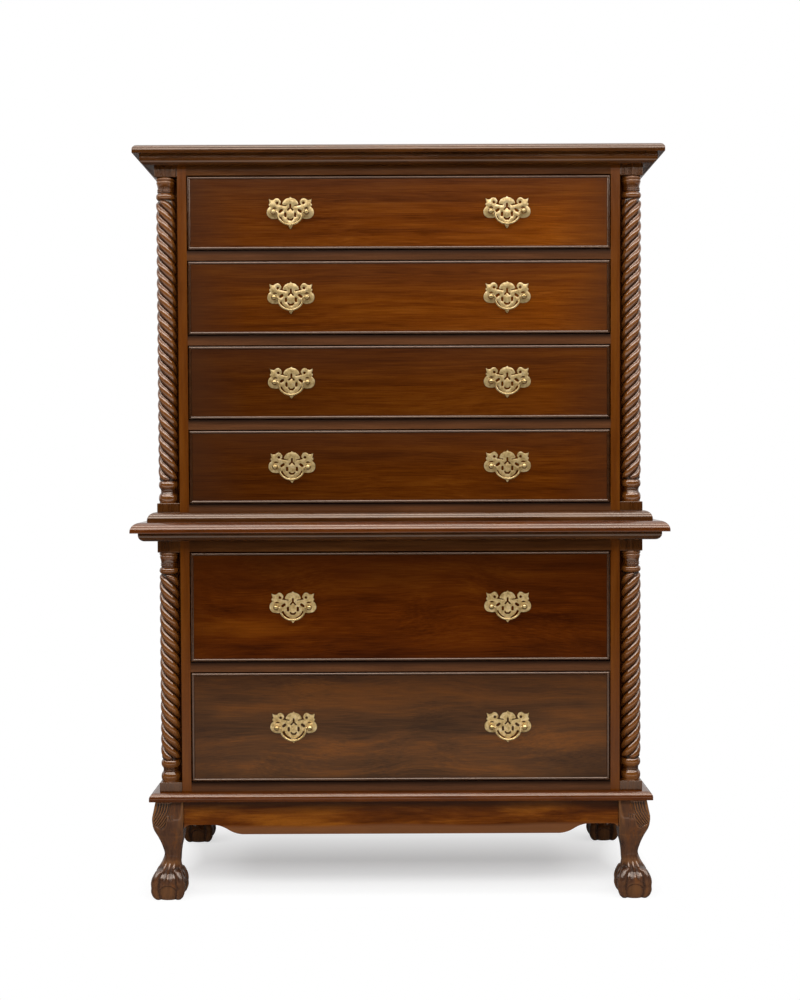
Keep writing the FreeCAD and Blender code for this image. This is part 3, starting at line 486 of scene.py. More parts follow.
# The lowest front's greyer tones are partly its own colour, partly a painted sheen of the floor's reflection
lowestLook = {
    **lowerLook, "spread": 0.11, "sway": 0.07, "shine": 0.22, "varnish": (1.0, 0.92, 0.84),
    "upper": 0.62,
    "tones": ((0.044, 0.017, 0.0046), (0.102, 0.037, 0.009), (0.192, 0.061, 0.009)),
}
turnedLook = {
    **mahogany, "pores": 0.25, "gloss": 0.13, "shine": 1.0, "varnish": (1.0, 0.86, 0.75), "index": 1.62,
    "wearAndHighlight": 0.5, "ridge": (0.3, 0.112, 0.026),
    "tones": ((0.044, 0.01, 0.0008), (0.11, 0.03, 0.0026), (0.185, 0.06, 0.007)),
}
carvedLook = {
    **turnedLook, "spread": 0.15, "gloss": 0.15, "shine": 0.75, "index": 1.58, "wearAndHighlight": 0.6,
    "ridge": (0.29, 0.12, 0.034), "paintedGrooveShade": 0.8, "groove": (0.01, 0.0033, 0.0012),
    "tones": ((0.044, 0.016, 0.008), (0.098, 0.041, 0.02), (0.185, 0.058, 0.011)),
}
# The back legs share the carved wood with darker tones, as painted shade under the chest
shadedRearLegLook = {
    **carvedLook, "shine": 0.35, "wearAndHighlight": 0.25, "groove": (0.008, 0.0026, 0.001),
    "tones": ((0.014, 0.0042, 0.001), (0.034, 0.01, 0.002), (0.07, 0.023, 0.005)),
}
beadWood = {
    **mahogany, "gloss": 0.16, "shine": 1.0, "varnish": (1.0, 0.77, 0.62), "index": 1.62,
    "tones": ((0.02, 0.006, 0.0012), (0.04, 0.0125, 0.0028), (0.066, 0.023, 0.006)),
}
# The apron's top is a painted shadow under the moulding above, and its foot a painted reflection of the floor
# along the lower edge
apronWood = {
    **mahogany, "spread": 0.1, "bands": (3.4, 24.0), "bandShare": 0.6, "streakShare": 0.12,
    "gloss": 0.2, "shine": 0.25, "swell": 0.016, "top": (0.026, 0.0065, 0.0006),
    "foot": (0.175, 0.068, 0.025), "paintedShadeZone": (0.58, 0.95, 0.0, 0.85), "paintedReflectionZone": (0.3, 0.2, 0.0, 0.8),
    "tones": ((0.046, 0.009, 0.0003), (0.118, 0.026, 0.0008), (0.25, 0.072, 0.004)),
}
oakLook = {
    "spread": 0.2, "bands": (3.0, 60.0), "bandShare": 0.4, "streakShare": 0.4, "sway": 0.012,
    "pores": 0.5, "gloss": 0.58, "shine": 0.5, "varnish": (1.0, 0.95, 0.88), "index": 1.5, "bump": 0.1,
    "tones": ((0.22, 0.122, 0.05), (0.36, 0.218, 0.1), (0.5, 0.325, 0.165)),
}
pineLook = {**oakLook, "tones": ((0.24, 0.12, 0.044), (0.34, 0.19, 0.08), (0.44, 0.272, 0.125))}
brassLook = {
    "spread": 0.14, "gloss": 0.3, "metal": 0.5, "cloud": 160, "fine": 900, "cloudShare": 0.7, "bump": 0.25,
    "paintedLightByHeight": (0.25, 0.85, 1.3, 0.93),
    "tones": ((0.36, 0.23, 0.084), (0.58, 0.41, 0.174), (0.76, 0.575, 0.308)),
}
# The rims round the plate and its piercings are painted dark, as the shade seen at their edges
shadedRimLook = {
    **brassLook, "gloss": 0.45, "metal": 0.3,
    "tones": ((0.06, 0.036, 0.01), (0.15, 0.1, 0.034), (0.26, 0.19, 0.075)),
}

caseWoods = [woodMaterial("caseMahoganyAlong" + axis, axis, mahogany, i) for i, axis in enumerate("XYZ", 1)]
caseX, caseY, caseZ = caseWoods
warmX = woodMaterial("warmMahoganyAlongX", "X", warmLook, 1.1)
railX = woodMaterial("railMahogany", "X", railLook, 1.2, relief=True)
shadedRailX = woodMaterial("shadedRailMahogany", "X", shadedRailLook, 1.3, relief=True)
stileZ = woodMaterial("stileMahogany", "Z", stileLook, 3.4)
turnedZ = woodMaterial("turnedMahogany", "Z", turnedLook, 4.0, relief=True)
carvedZ = woodMaterial("carvedMahogany", "Z", carvedLook, 5.0, relief=True)
shadedRearLegZ = woodMaterial("shadedRearLegMahogany", "Z", shadedRearLegLook, 5.5, relief=True)
liningY = woodMaterial("drawerLiningOak", "Y", oakLook, 6.0)
beadX = woodMaterial("beadMahogany", "X", beadWood, 1.5)
innerY = woodMaterial("innerPineAlongY", "Y", pineLook, 7.0)
innerX = woodMaterial("innerPineAlongX", "X", pineLook, 8.0)
innerZ = woodMaterial("backPanelWood", "Z", pineLook, 9.0)
plateBrass = brassMaterial("plateBrass", brassLook)
paintedShadeRimBrass = brassMaterial("paintedShadeRimBrass", shadedRimLook)
knobBrass = brassMaterial("knobBrass", {**brassLook, "gloss": 0.16, "metal": 0.85})
bailBrass = brassMaterial("bailBrass", {**brassLook, "gloss": 0.2, "metal": 0.7})
print("materials made")

# Places on the case, from the frame
drawerNames = ["drawer_%d" % number for number in range(1, 7)]
frontBoxes = {name: nodeBox(name + "_front") for name in drawerNames}
drawerMiddles = {name: (low[2] + high[2]) / 2 for name, (low, high) in frontBoxes.items()}
faceY = nodeBox("upper_face_frame")[0][1]
backY = nodeBox("waist_board")[1][1]
notchInner = nodeBox("upper_column_right")[0][0]
halfCase = nodeBox("upper_column_right")[1][0]
columnNotch = halfCase - notchInner
drawerGap = 2.0
halfOpening = frontBoxes["drawer_1"][1][0] + drawerGap

# Each board's edge radius and wood
boardLook = {
    "top_board": (10.0, caseX),
    "upper_base_board": (15.0, caseX),
    "waist_board": (17.0, warmX),
    "base_board": (10.0, warmX),
}


def roundedBoard(low, high, radius, edge=0.6):
    # Quarter round on the upper front and side edges: inset r (1 - cos t), height r sin t
    angle = np.linspace(0, math.pi / 2, 10)
    bottom, top = low[2], high[2] - radius
    curl = radius * (1 - np.cos(angle))
    insets = np.array([edge + support, edge, 0.3 * edge, 0, 0, *curl, radius + support])
    heights = [bottom, bottom, bottom + 0.3 * edge, bottom + edge]
    heights += [top - support, *(top + radius * np.sin(angle)), high[2]]
    return ringShell(low[0] + insets, high[0] - insets, low[1] + insets, high[1], heights, 0.5)


for node, (radius, wood) in boardLook.items():
    meshPiece(node + "_look", roundedBoard(*nodeBox(node), radius), [wood], node)

# Radius of the round below each hung moulding
hungRounds = {"cornice_moulding": 11.0, "waist_moulding": 12.0}


def hungMoulding(low, high, radius):
    # Section rounded below, carried round the front and both sides with mitred corners
    reach = faceY - low[1]
    angle = np.linspace(-math.pi / 2, 0, 10)
    out = np.array([0, *(reach - radius + radius * np.cos(angle)), reach, 0])
    height = np.array([low[2], *(low[2] + radius + radius * np.sin(angle)), high[2], high[2]])
    wide, front, back = halfCase + out, faceY - out, high[1] + 0 * out
    corners = ((-wide, back), (-wide, front), (wide, front), (wide, back))
    return gridShell(np.stack([np.column_stack([x, y, height]) for x, y in corners]))


def alongSides(middles):
    # The returns along the sides take the second material, whose grain runs from front to back
    return (np.abs(middles[:, 0]) > halfCase - 1).astype(int)


for node, radius in hungRounds.items():
    shell = hungMoulding(*nodeBox(node), radius)
    meshPiece(node + "_look", shell, [caseX, caseY], node, pick=alongSides)
print("boards made")

frameLook = {"postReturn": 20.0, "railDepth": 60.0, "postEdge": 0.35, "railEdge": 0.3}
# The drawers of each frame from the lowest to the uppermost
frameDrawers = {"upper_face_frame": drawerNames[3::-1], "lower_face_frame": drawerNames[:3:-1]}


def faceFrame(low, high, drawers):
    # Two posts, each an L in plan, and rails between, above and below the drawer openings
    notchBack = faceY + columnNotch
    postBack = notchBack + frameLook["postReturn"]
    plan = [(halfOpening, faceY), (notchInner, faceY), (notchInner, notchBack)]
    plan += [(halfCase, notchBack), (halfCase, postBack), (halfOpening, postBack)]
    outline = np.column_stack([plan, np.full(len(plan), low[2])])
    post = prismShell(outline, (0, 0, high[2] - low[2]))
    levels = [low[2]]
    for name in drawers:
        levels += [frontBoxes[name][0][2] - drawerGap, frontBoxes[name][1][2] + drawerGap]
    levels.append(high[2])
    rails = []
    for bottom, top in zip(levels[::2], levels[1::2]):
        opposite = (halfOpening, faceY + frameLook["railDepth"], top)
        rails.append(softBox((-halfOpening, faceY, bottom), opposite, frameLook["railEdge"]))
    return [post, flipped(post, 0)], rails


for node, drawers in frameDrawers.items():
    posts, rails = faceFrame(*nodeBox(node), drawers)
    meshPiece(node + "_posts", mergedShells(posts), [stileZ], node, bevel=frameLook["postEdge"])
    # The mark falls from bottom to top of each rail, so that a painted shadow darkens the wood under the
    # drawer's lower bead
    marks = [0.95 - (points[:, 2] - points[:, 2].min()) / np.ptp(points[:, 2]) for points, _ in rails]
    # The rail above the uppermost drawer has painted shade, as dark as the mouldings over it
    pick = outside(0, frontBoxes[drawers[-1]][1][2])
    woods = [railX, shadedRailX]
    meshPiece(node + "_rails", mergedShells(rails), woods, node, relief=np.concatenate(marks), pick=pick)
print("face frames made")

apronLook = {
    "middleDrop": 67.5,
    "endDrop": 48.6,
    "footDrop": 57.0,
    "ogeeLength": 58.0,
    "bracket": 15.0,
    "frontShoulder": 42.7,
    "sideShoulder": 12.0,
    "edge": 0.8,
}


def apronOutline(halfLength, top, shoulder):
    # Level middle, two arcs up to a level shoulder, and a short arc down to the leg
    middle, end, foot = (top - apronLook[key] for key in ("middleDrop", "endDrop", "footDrop"))
    bracket = halfLength - apronLook["bracket"]
    ogeeEnd = bracket - shoulder
    ogeeStart = ogeeEnd - apronLook["ogeeLength"]
    wave = apronLook["ogeeLength"] / 2
    rise = (end - middle) / 2
    lift = (bracket + apronLook["bracket"] * 0.6, end - (end - foot) * 0.25)
    ogee = [(ogeeEnd, end), (ogeeStart + 1.5 * wave, end - 0.28 * rise), (ogeeStart + wave, middle + rise)]
    ogee += [(ogeeStart + 0.5 * wave, middle + 0.28 * rise), (ogeeStart, middle)]
    curl = arcThrough((halfLength, foot), lift, (bracket, end), 8)
    right = joinedPath([[(halfLength, top)], curl, arcsThrough(ogee, 10)])
    return np.concatenate([right, right[::-1] * np.array([-1, 1])])


bandLow, bandHigh = nodeBox("front_apron")
apronBand = (bandLow[2] * mm, bandHigh[2] * mm)
apronX = woodMaterial("apronMahoganyAlongX", "X", apronWood, 2.5, span=apronBand)
apronY = woodMaterial("apronMahoganyAlongY", "Y", apronWood, 3.5, span=apronBand)
for node, axis, shoulder, wood in (
    ("front_apron", 0, "frontShoulder", apronX),
    ("side_apron_left", 1, "sideShoulder", apronY),
    ("side_apron_right", 1, "sideShoulder", apronY),
):
    low, high = nodeBox(node)
    outline = apronOutline((high[axis] - low[axis]) / 2, high[2], apronLook[shoulder])
    points = np.tile(low, (len(outline), 1))
    points[:, axis] = outline[:, 0] + (high[axis] + low[axis]) / 2
    points[:, 2] = outline[:, 1]
    run = np.zeros(3)
    run[1 - axis] = high[1 - axis] - low[1 - axis]
    meshPiece(node + "_look", prismShell(points, run), [wood], node, bevel=apronLook["edge"])
print("aprons made")

columnLook = {
    "footBlock": {"upper": 17.6, "lower": 18.4},
    "headBlock": {"upper": 38.6, "lower": 39.8},
    "collarLength": 43.0,
    "collarSides": 56,
    "ring": 19.0,
    "cove": 15.2,
    "ridge": 19.4,
    "strand": 11.4,
    "strands": 4,
    "lead": 86.4,
    "standOut": 2.6,
    "grooveDepth": 1.7,
    "grooveWidth": 0.085,
    "fineZone": 16.0,
    "tipDip": 5.0,
    "endLength": 8.0,
    "endFloor": 14.0,
    "blockEdge": 1.1,
}


def footProfile():
    # Two round rings with a cove between them, as (radius, distance from the block)
    ring, cove = columnLook["ring"], columnLook["cove"]
    fillet = (ring + cove) / 2
    lip = fillet - 0.7
    return joinedPath([
        [(0.0, 0.0), (fillet + 0.6, 0.0), (fillet + 0.6, 1.4)],
        arcThrough((fillet, 1.8), (ring, 8), (fillet, 17), 12),
        arcThrough((lip, 17.6), (cove - 0.5, 23), (lip, 28.4), 12),
        arcThrough((fillet, 29), (ring, 35.5), (fillet, 42), 12),
        [(cove, 43), (0.0, 43)],
    ])


def headProfile():
    # Two round flanges, a hollow bell, two fine rings and a round ring, in the same way
    ring, cove = columnLook["ring"], columnLook["cove"]
    share = np.linspace(0, 1, 10)
    bell = np.column_stack([cove + 0.6 + (ring - cove - 2.2) * (1 - share) ** 2, 12.8 + 8.4 * share])
    fine = []
    for start in (21.6, 25.0):
        fine.append(arcThrough((cove + 0.3, start), (cove + 1.7, start + 1.5), (cove + 0.3, start + 3.0), 6))
    return joinedPath([
        [(0.0, 0.0)],
        arcThrough((ring - 1.6, 0.0), (ring, 2.8), (ring - 1.4, 5.6), 10),
        arcThrough((ring - 1.8, 6.2), (ring - 0.7, 9.0), (ring - 1.8, 11.8), 10),
        bell,
        *fine,
        [(cove - 0.2, 28.6), (cove - 0.2, 29.6)],
        arcThrough((cove + 1.2, 30.2), (ring + 0.2, 36), (cove + 1.2, 41.8), 14),
        [(cove, 43), (0.0, 43)],
    ])


def ropeGrid(length):
    # r = c cos d + sqrt(R^2 - (c sin d)^2) across a strand, d its angle from the strand's middle,
    # less a fine groove between strands; strands turn once in each lead and end in round tips
    strand, groove, endFloor = (columnLook[key] for key in ("strand", "grooveDepth", "endFloor"))
    centre = columnLook["ridge"] - strand

    def strandRadius(offset):
        return centre * np.cos(offset) + np.sqrt(strand**2 - (centre * np.sin(offset)) ** 2)

    fine = columnLook["fineZone"]
    ends = np.arange(0, fine, 0.6)
    heights = np.unique(np.concatenate([ends, np.arange(fine, length - fine, 2.0), length - ends]))[:, None]
    across = np.linspace(0, 2 * math.pi, 72, endpoint=False)
    half = math.pi / columnLook["strands"]
    offset = (across + half) % (2 * half) - half
    radius = strandRadius(offset) - groove * hump(half - np.abs(offset), columnLook["grooveWidth"])
    fromEnd = np.minimum(heights, length - heights) - columnLook["tipDip"] * (offset / half) ** 2
    share = np.clip(fromEnd / columnLook["endLength"], 0, 1)
    radius = endFloor + (radius - endFloor) * np.sqrt(1 - (1 - share) ** 2)
    turned = across + heights / columnLook["lead"] * 2 * math.pi
    floor = strandRadius(half) - groove
    relief = 0.9 * np.clip((radius - floor) / (columnLook["ridge"] - floor), 0, 1) ** 1.5
    grid = np.stack([radius * np.cos(turned), radius * np.sin(turned), heights + 0 * across], axis=-1)
    return grid, relief.ravel()


for case in ("upper", "lower"):
    low, high = nodeBox(case + "_column_right")
    half, stand = columnNotch / 2, columnLook["standOut"]
    footTop = low[2] + columnLook["footBlock"][case]
    headBottom = high[2] - columnLook["headBlock"][case]
    ropeLow = footTop + columnLook["collarLength"]
    grid, relief = ropeGrid(headBottom - columnLook["collarLength"] - ropeLow)
    foot = np.array([0, footTop]) + footProfile()
    head = np.array([0, headBottom]) + headProfile() * np.array([1, -1])
    collars = [latheShell(profile, columnLook["collarSides"]) for profile in (foot, head)]
    turned = mergedShells([shifted(gridShell(grid), (0, 0, ropeLow))] + collars)
    # The rope has its own marks, painted highlight on its strands and painted shade in its grooves; the
    # collars get painted highlight on their rings and painted shade in their hollows, and the blocks are
    # plain
    fromAxis = np.hypot(turned[0][:, 0], turned[0][:, 1])
    marks = 0.26 + 0.5 * smoothStep(columnLook["cove"] + 0.2, columnLook["ring"] - 0.4, fromAxis)
    marks[: len(relief)] = relief
    blocks = []
    for bottom, top in ((low[2], footTop), (headBottom, high[2])):
        blocks.append(softBox((-half, -half, bottom), (half, half, top), columnLook["blockEdge"]))
    whole = mergedShells([shifted(turned, (stand, -stand, 0))] + blocks)
    marks = np.append(marks, np.full(len(whole[0]) - len(marks), 0.5))
    placed = shifted(whole, ((low[0] + high[0]) / 2, (low[1] + high[1]) / 2, 0))
    for side, shell in (("right", placed), ("left", flipped(placed, 0))):
        node = "%s_column_%s" % (case, side)
        pick = outside(footTop, headBottom)
        meshPiece(
            node + "_look", shell, [turnedZ, caseZ], node,
            sharp=50, relief=marks, pick=pick,
        )
print("columns made")

# Stations are (height from the floor, value); the section's centre lies on the corner's diagonal
legLook = {
    "centre": [
        (0, -15.9), (25, -15.9), (50, -15.9), (57, -16.6), (67, -18.6), (82.5, -21.8), (101, -21.24),
        (119.5, -20.1), (139.5, -16.7), (159.5, -16.15), (177.5, -17.98), (195.5, -19.8),
    ],
    "half": [
        (0, 14), (20, 18), (30, 24), (41, 27.3), (52.4, 22.6), (63, 20), (73, 18.2), (82.5, 16.8),
        (101, 19.38), (119.5, 24.55), (139.5, 29.14), (159.5, 31.15), (177.5, 29.3), (195.5, 27.5),
    ],
    "roundness": [
        (0, 1.0), (41, 0.96), (52.4, 0.9), (73, 0.88), (82.5, 0.88), (101, 0.74), (119.5, 0.56), (139.5, 0.4),
        (159.5, 0.29), (177.5, 0.17), (195.5, 0.11),
    ],
    "clawOut": [
        (0, 27.4), (4, 31.0), (10, 34.0), (20, 35.8), (30, 35.2), (43, 32.0), (54, 25.8), (65, 17.5),
        (73, 12.5),
    ],
    "clawWidth": [
        (0, 4.8), (4, 6.2), (10, 7.2), (18, 7.9), (24, 7.4), (32, 8.6), (40, 8.6), (48, 8.2), (56, 7.6),
        (64, 6.4), (73, 4.6),
    ],
    "clawEnd": (54, 72),
    "ballRadius": 31.0,
    "ballCentre": 26.0,
    "ballTuck": 0.19,
    "archFoot": 5.0,
    "archRise": 25.5,
    "archHalf": 0.66,
    "webThickness": 2.4,
    "webTop": 60.0,
    "tendonZone": (33, 43, 58, 72),
    "tendonPlace": 0.45,
    "tendonWidths": (0.1, 0.11),
    "tendonRise": 2.3,
    "ankle": 69.0,
    "kneeStart": (122, 130),
    "kneeTurn": (0.7, 0.8),
}
kneeLook = {
    "leafEdge": 31.4,
    "leafTop": 190.0,
    "leafDepth": 0.3,
    "borderFlat": 16.0,
    "borderFoot": 141.0,
    "borderRise": 26.0,
    "flutePitch": 5.2,
    "fluteDepth": 1.5,
    "fluteBend": 178.0,
    "hookTop": 172.5,
    "sideFoot": 166.5,
    "strokesAcross": (32, 34, 42, 45),
    "strokesHigh": (158, 161, 166, 170),
    "strokePitch": 4.2,
    "strokeDepth": 0.9,
}


def kneeCarving(fromCorner, height):
    # Depth in mm cut into an outward knee face: fluted leaf, its border and short strokes beside it
    edge, flat, top = kneeLook["leafEdge"], kneeLook["borderFlat"], kneeLook["leafTop"]
    across = np.clip((fromCorner - flat) / (edge - flat - 0.2), 0, 1)
    border = kneeLook["borderFoot"] + kneeLook["borderRise"] * (1 - np.sqrt(1 - across**2))
    border = border + 0.6 * np.clip(flat - fromCorner, 0, flat)
    inside = smoothStep(0, 2.0, height - border) * smoothStep(top + 2, top - 2, height)
    inside = inside * between(fromCorner, 3, 6, edge - 1.4, edge)
    sway = np.maximum(kneeLook["fluteBend"] - height, 0) ** 2 / 60
    flutes = 0.5 - 0.5 * np.cos(2 * math.pi * (fromCorner + sway) / kneeLook["flutePitch"])
    depth = inside * (kneeLook["leafDepth"] + kneeLook["fluteDepth"] * flutes**0.8)
    hook = hump(height - border, 1.3) * between(fromCorner, flat - 3, flat, edge - 0.4, edge + 1.1)
    hook = hook * smoothStep(1.5, -1.5, height - kneeLook["hookTop"])
    foot = kneeLook["sideFoot"]
    side = hump(fromCorner - edge - 0.2, 1.1) * between(height, foot - 1.5, foot + 1.5, top, top + 3)
    depth = np.maximum(depth, np.maximum(hook, side))
    # Three short strokes beside the leaf
    beside = between(fromCorner, *kneeLook["strokesAcross"]) * between(height, *kneeLook["strokesHigh"])
    strokes = 0.5 - 0.5 * np.cos(2 * math.pi * (fromCorner + 0.5 * height - 82) / kneeLook["strokePitch"])
    return np.maximum(depth, kneeLook["strokeDepth"] * beside * strokes)


def legGrid():
    # Radius from the section's centre in each direction: rounded square above, ball, web and claws below
    # Columns stand closer on the two outward faces, and rows closer on the foot and the knee
    angle = np.radians(np.append(np.linspace(-50, 140, 176), np.linspace(140, 310, 84)[1:-1]))
    cosine, sine = np.cos(angle), np.sin(angle)
    parts = [np.linspace(0, 82.5, 110), np.linspace(82.5, 124, 34)[1:], np.linspace(124, 195.5, 94)[1:]]
    height = np.concatenate(parts)[:, None]
    full = height + 0 * angle
    stations = [legLook[key] for key in ("centre", "half", "roundness", "clawOut", "clawWidth")]
    centre, half, roundness, out, width = (curveThrough(values, height) for values in stations)
    corner = roundness * half
    inner = half - corner
    narrow, wide = np.sort(np.abs([cosine, sine]), axis=0)
    flat = half / wide
    bend = inner * (wide + narrow) + np.sqrt(np.maximum(corner**2 - (inner * (wide - narrow)) ** 2, 0))
    shaft = np.where(flat * narrow <= inner, flat, bend)
    rise = full - legLook["ballCentre"]
    ball = np.sqrt(np.maximum(legLook["ballRadius"] ** 2 - np.maximum(rise, 0) ** 2, 0))
    ball = ball * (1 - legLook["ballTuck"] * np.clip(-rise / legLook["ballCentre"], 0, 1) ** 2.6)
    offset = angle % (math.pi / 2) - math.pi / 4
    fromFace = math.pi / 4 - np.abs(offset)
    arch = np.sqrt(np.maximum(1 - (fromFace / legLook["archHalf"]) ** 2, 0))
    arch = legLook["archFoot"] + legLook["archRise"] * arch
    webbed = smoothStep(-0.9, 0.9, height - arch)
    web = smoothMax(shaft, ball + legLook["webThickness"], 3.0)
    body = np.where(height > legLook["webTop"], shaft, ball + (web - ball) * webbed)
    # Tendons run down the web from the ankle, one in the middle of each face and one on either side
    fade = between(height, *legLook["tendonZone"])
    middleWidth, sideWidth = legLook["tendonWidths"]
    tendon = hump(fromFace, middleWidth) + hump(fromFace - legLook["tendonPlace"], sideWidth)
    body = body + legLook["tendonRise"] * fade * tendon
    reach = width**2 - (out * np.sin(offset)) ** 2
    claw = out * np.cos(offset) + np.sign(reach) * np.sqrt(np.abs(reach))
    claw = claw - 40 * smoothStep(*legLook["clawEnd"], height)
    radius = smoothMax(body, claw, 3.0 + 3.4 * webbed)
    u, v = centre + radius * cosine, centre + radius * sine
    onKnee = smoothStep(*legLook["kneeStart"], height)
    turn = legLook["kneeTurn"]
    frontCut = kneeCarving(centre + half - u, full) * smoothStep(*turn, sine) * onKnee
    sideCut = kneeCarving(centre + half - v, full) * smoothStep(*turn, cosine) * onKnee
    # Painted highlight where the surface stands above its smoothed surroundings, painted shade where it lies
    # below them
    plain = radius - np.maximum(frontCut, sideCut)
    smoothed = plain
    for step in (1, 2, 3):
        smoothed = (np.roll(smoothed, step, 1) + np.roll(smoothed, -step, 1) + 2 * smoothed) / 4
        padded = np.pad(smoothed, ((step, step), (0, 0)), "edge")
        smoothed = (padded[2 * step :] + padded[: -2 * step] + 2 * smoothed) / 4
    strength = 0.14 + 0.1 * smoothStep(24, 40, height) + 0.66 * smoothStep(80, 130, height)
    # The ball stays lighter than the rest, the web above it darker
    seen = smoothStep(arch, arch - 3, height) * smoothStep(0.7, 0.45, fromFace)
    tone = 0.22 * seen - 0.28 * fade * (1 - tendon) + 0.3 * hump(height - legLook["ankle"], 6)
    relief = np.clip(0.5 + strength * (plain - smoothed) + tone, 0, 1)
    return np.stack([u - sideCut, v - frontCut, full], axis=-1), relief.ravel()


grid, relief = legGrid()
legShell = gridShell(grid)
for row, alongY, startY, wood in (("front", -1, faceY, carvedZ), ("back", 1, backY, shadedRearLegZ)):
    for side, alongX in (("right", 1), ("left", -1)):
        node = "leg_%s_%s" % (row, side)
        points = legShell[0] * np.array([alongX, alongY, 1]) + np.array([alongX * halfCase, startY, 0])
        shell = facedOut(points, legShell[1])
        meshPiece(node + "_look", shell, [wood], node, sharp=60, relief=relief)
print("legs made")

beadLook = {"width": 5.5, "proud": 2.2, "seat": 6.9, "cover": 0.06}


def beadShell(low, high):
    # Half-round nose on a flat strip, carried round the front's edge
    cover = beadLook["cover"]
    radius = beadLook["width"] / 2 + cover
    angle = np.linspace(math.pi, 0, 13)
    inset = radius * (1 + np.cos(angle)) - cover
    rise = faceY - beadLook["proud"] + radius - cover - radius * np.sin(angle)
    seat = faceY + beadLook["seat"]
    inset = np.array([-cover, *inset, beadLook["width"] + cover])
    rise = np.array([seat, *rise, seat])
    sides = (low[0] + inset, high[0] - inset, low[2] + inset, high[2] - inset)
    return ringShell(*sides, rise, 0.3, (0, 2, 1), roundRows=True)


# Each front's look and how bright its tones are: partly the front's own tone, partly painted light falling
# from above in each case
frontLooks = [drawerLook] * 4 + [lowerLook, lowestLook]
frontToneAndPaintedLight = (0.98, 0.92, 0.64, 0.66, 0.95, 0.82)
for number, name in enumerate(drawerNames):
    low, high = frontBoxes[name]
    meshPiece(name + "_bead", beadShell(low, high), [beadX], body=name, sharp=50)
    look = frontLooks[number]
    tones = [[part * frontToneAndPaintedLight[number] for part in tone] for tone in look["tones"]]
    field = (high[0] * mm, drawerMiddles[name] * mm, (high[2] - low[2]) / 2 * mm)
    front = woodMaterial(name + "Front", "X", {**look, "tones": tones}, 10.0 + 3.1 * number, field=field)
    dressNode(name + "_front", front)
    dressNode(name + "_box", liningY)
print("drawers made")

pullLook = {
    "place": 210.0,
    "posts": 32.0,
    "plate": 1.8,
    "plateEdge": 0.3,
    "cornerGap": 0.7,
    "ball": 5.75,
    "standOff": 9.5,
    "collar": 4.6,
    "collarLength": 2.2,
    "neck": 3.0,
    "stem": 2.3,
    "stemEnd": 28.0,
    "nut": 8.0,
    "nutThickness": 3.5,
    "frontThickness": 22.0,
}


def slotLoop(x, z, length, width, degrees):
    # Slot with round ends: half circles at plus and minus half its straight part, then turned and moved
    turn = np.radians(np.linspace(-90, 90, 9))
    end = np.column_stack([(length - width) / 2 + width / 2 * np.cos(turn), width / 2 * np.sin(turn)])
    c, s = math.cos(math.radians(degrees)), math.sin(math.radians(degrees))
    return np.concatenate([end, -end]) @ np.array([[c, s], [-s, c]]) + np.array([x, z])


def plateLoops():
    # Outline of the bat-wing plate, arcs through three points each, and its piercings
    wing = [
        (0.0, 31.0), (1.7, 28.9), (4.0, 28.0), (10.9, 25.0), (14.8, 19.4), (15.4, 16.8), (13.6, 15.2),
        (11.0, 15.0), (8.9, 14.6), (7.9, 13.6), (8.9, 12.6), (14.5, 13.5), (20.2, 14.6), (21.0, 15.4),
        (20.6, 16.2), (18.6, 20.0), (20.2, 24.2), (25.6, 28.0), (31.0, 25.6), (35.4, 24.2), (41.4, 26.8),
        (40.7, 22.0), (39.4, 17.6), (41.8, 15.4), (39.8, 12.4), (40.0, 11.2), (41.0, 10.2), (44.6, -4.6),
        (33.6, -11.4), (26.0, -11.2), (20.2, -8.0), (18.6, -7.8), (17.6, -9.0), (13.6, -15.6), (7.6, -19.8),
        (5.0, -22.8), (3.6, -26.4), (2.0, -29.2), (0.0, -31.4),
    ]
    right = arcsThrough(wing, 8)
    left = right[::-1][1:-1] * np.array([-1, 1])
    loops = [np.concatenate([right, left])]
    loops += [slotLoop(0, 12.6, 10.2, 3.8, 90), slotLoop(0, -13.6, 8.6, 3.6, 0)]
    for side in (1, -1):
        loops.append(slotLoop(side * 25.4, 18.6, 5.41, 5.4, 0))
        loops.append(arcThrough((side * 31 - 4.5, 7.6), (side * 31, 10.6), (side * 31 + 4.5, 7.6), 12))
        loops.append(slotLoop(side * 18.4, 3.4, 9.8, 5.2, side * -38))
        loops.append(slotLoop(side * 9.6, -4.0, 9.4, 4.6, 90))
        loops.append(slotLoop(side * 3.4, 6.6, 7.2, 3.2, side * -48))
        loops.append(slotLoop(side * 4.2, -12.0, 5.6, 3.2, side * 60))
    return loops


def ringNumbers(loops):
    # The numbers of each loop's points when all loops stand in one list
    lengths = [len(loop) for loop in loops]
    return np.split(np.arange(sum(lengths)), np.cumsum(lengths)[:-1])


def filledLoops(loops):
    # Triangles inside the first loop and outside all the others, with points where loops cross
    edges = np.concatenate([np.column_stack([ring, np.roll(ring, -1)]) for ring in ringNumbers(loops)])
    places = [Vector(point) for point in np.concatenate(loops)]
    found = delaunay_2d_cdt(places, edges.tolist(), [], 0, 1e-6)
    points, triangles = np.array(found[0]), np.array(found[2])
    middles = points[triangles].mean(axis=1)
    kept = np.ones(len(triangles), bool)
    for number, loop in enumerate(loops):
        after = np.roll(loop, -1, 0)
        spans = (loop[:, 1] > middles[:, 1:]) != (after[:, 1] > middles[:, 1:])
        rise = np.where(after[:, 1] == loop[:, 1], 1, after[:, 1] - loop[:, 1])
        meet = loop[:, 0] + (middles[:, 1:] - loop[:, 1]) * (after[:, 0] - loop[:, 0]) / rise
        inside = np.sum(spans & (meet > middles[:, :1]), axis=1) % 2 == 1
        kept &= inside == (number == 0)
    return points, triangles[kept]


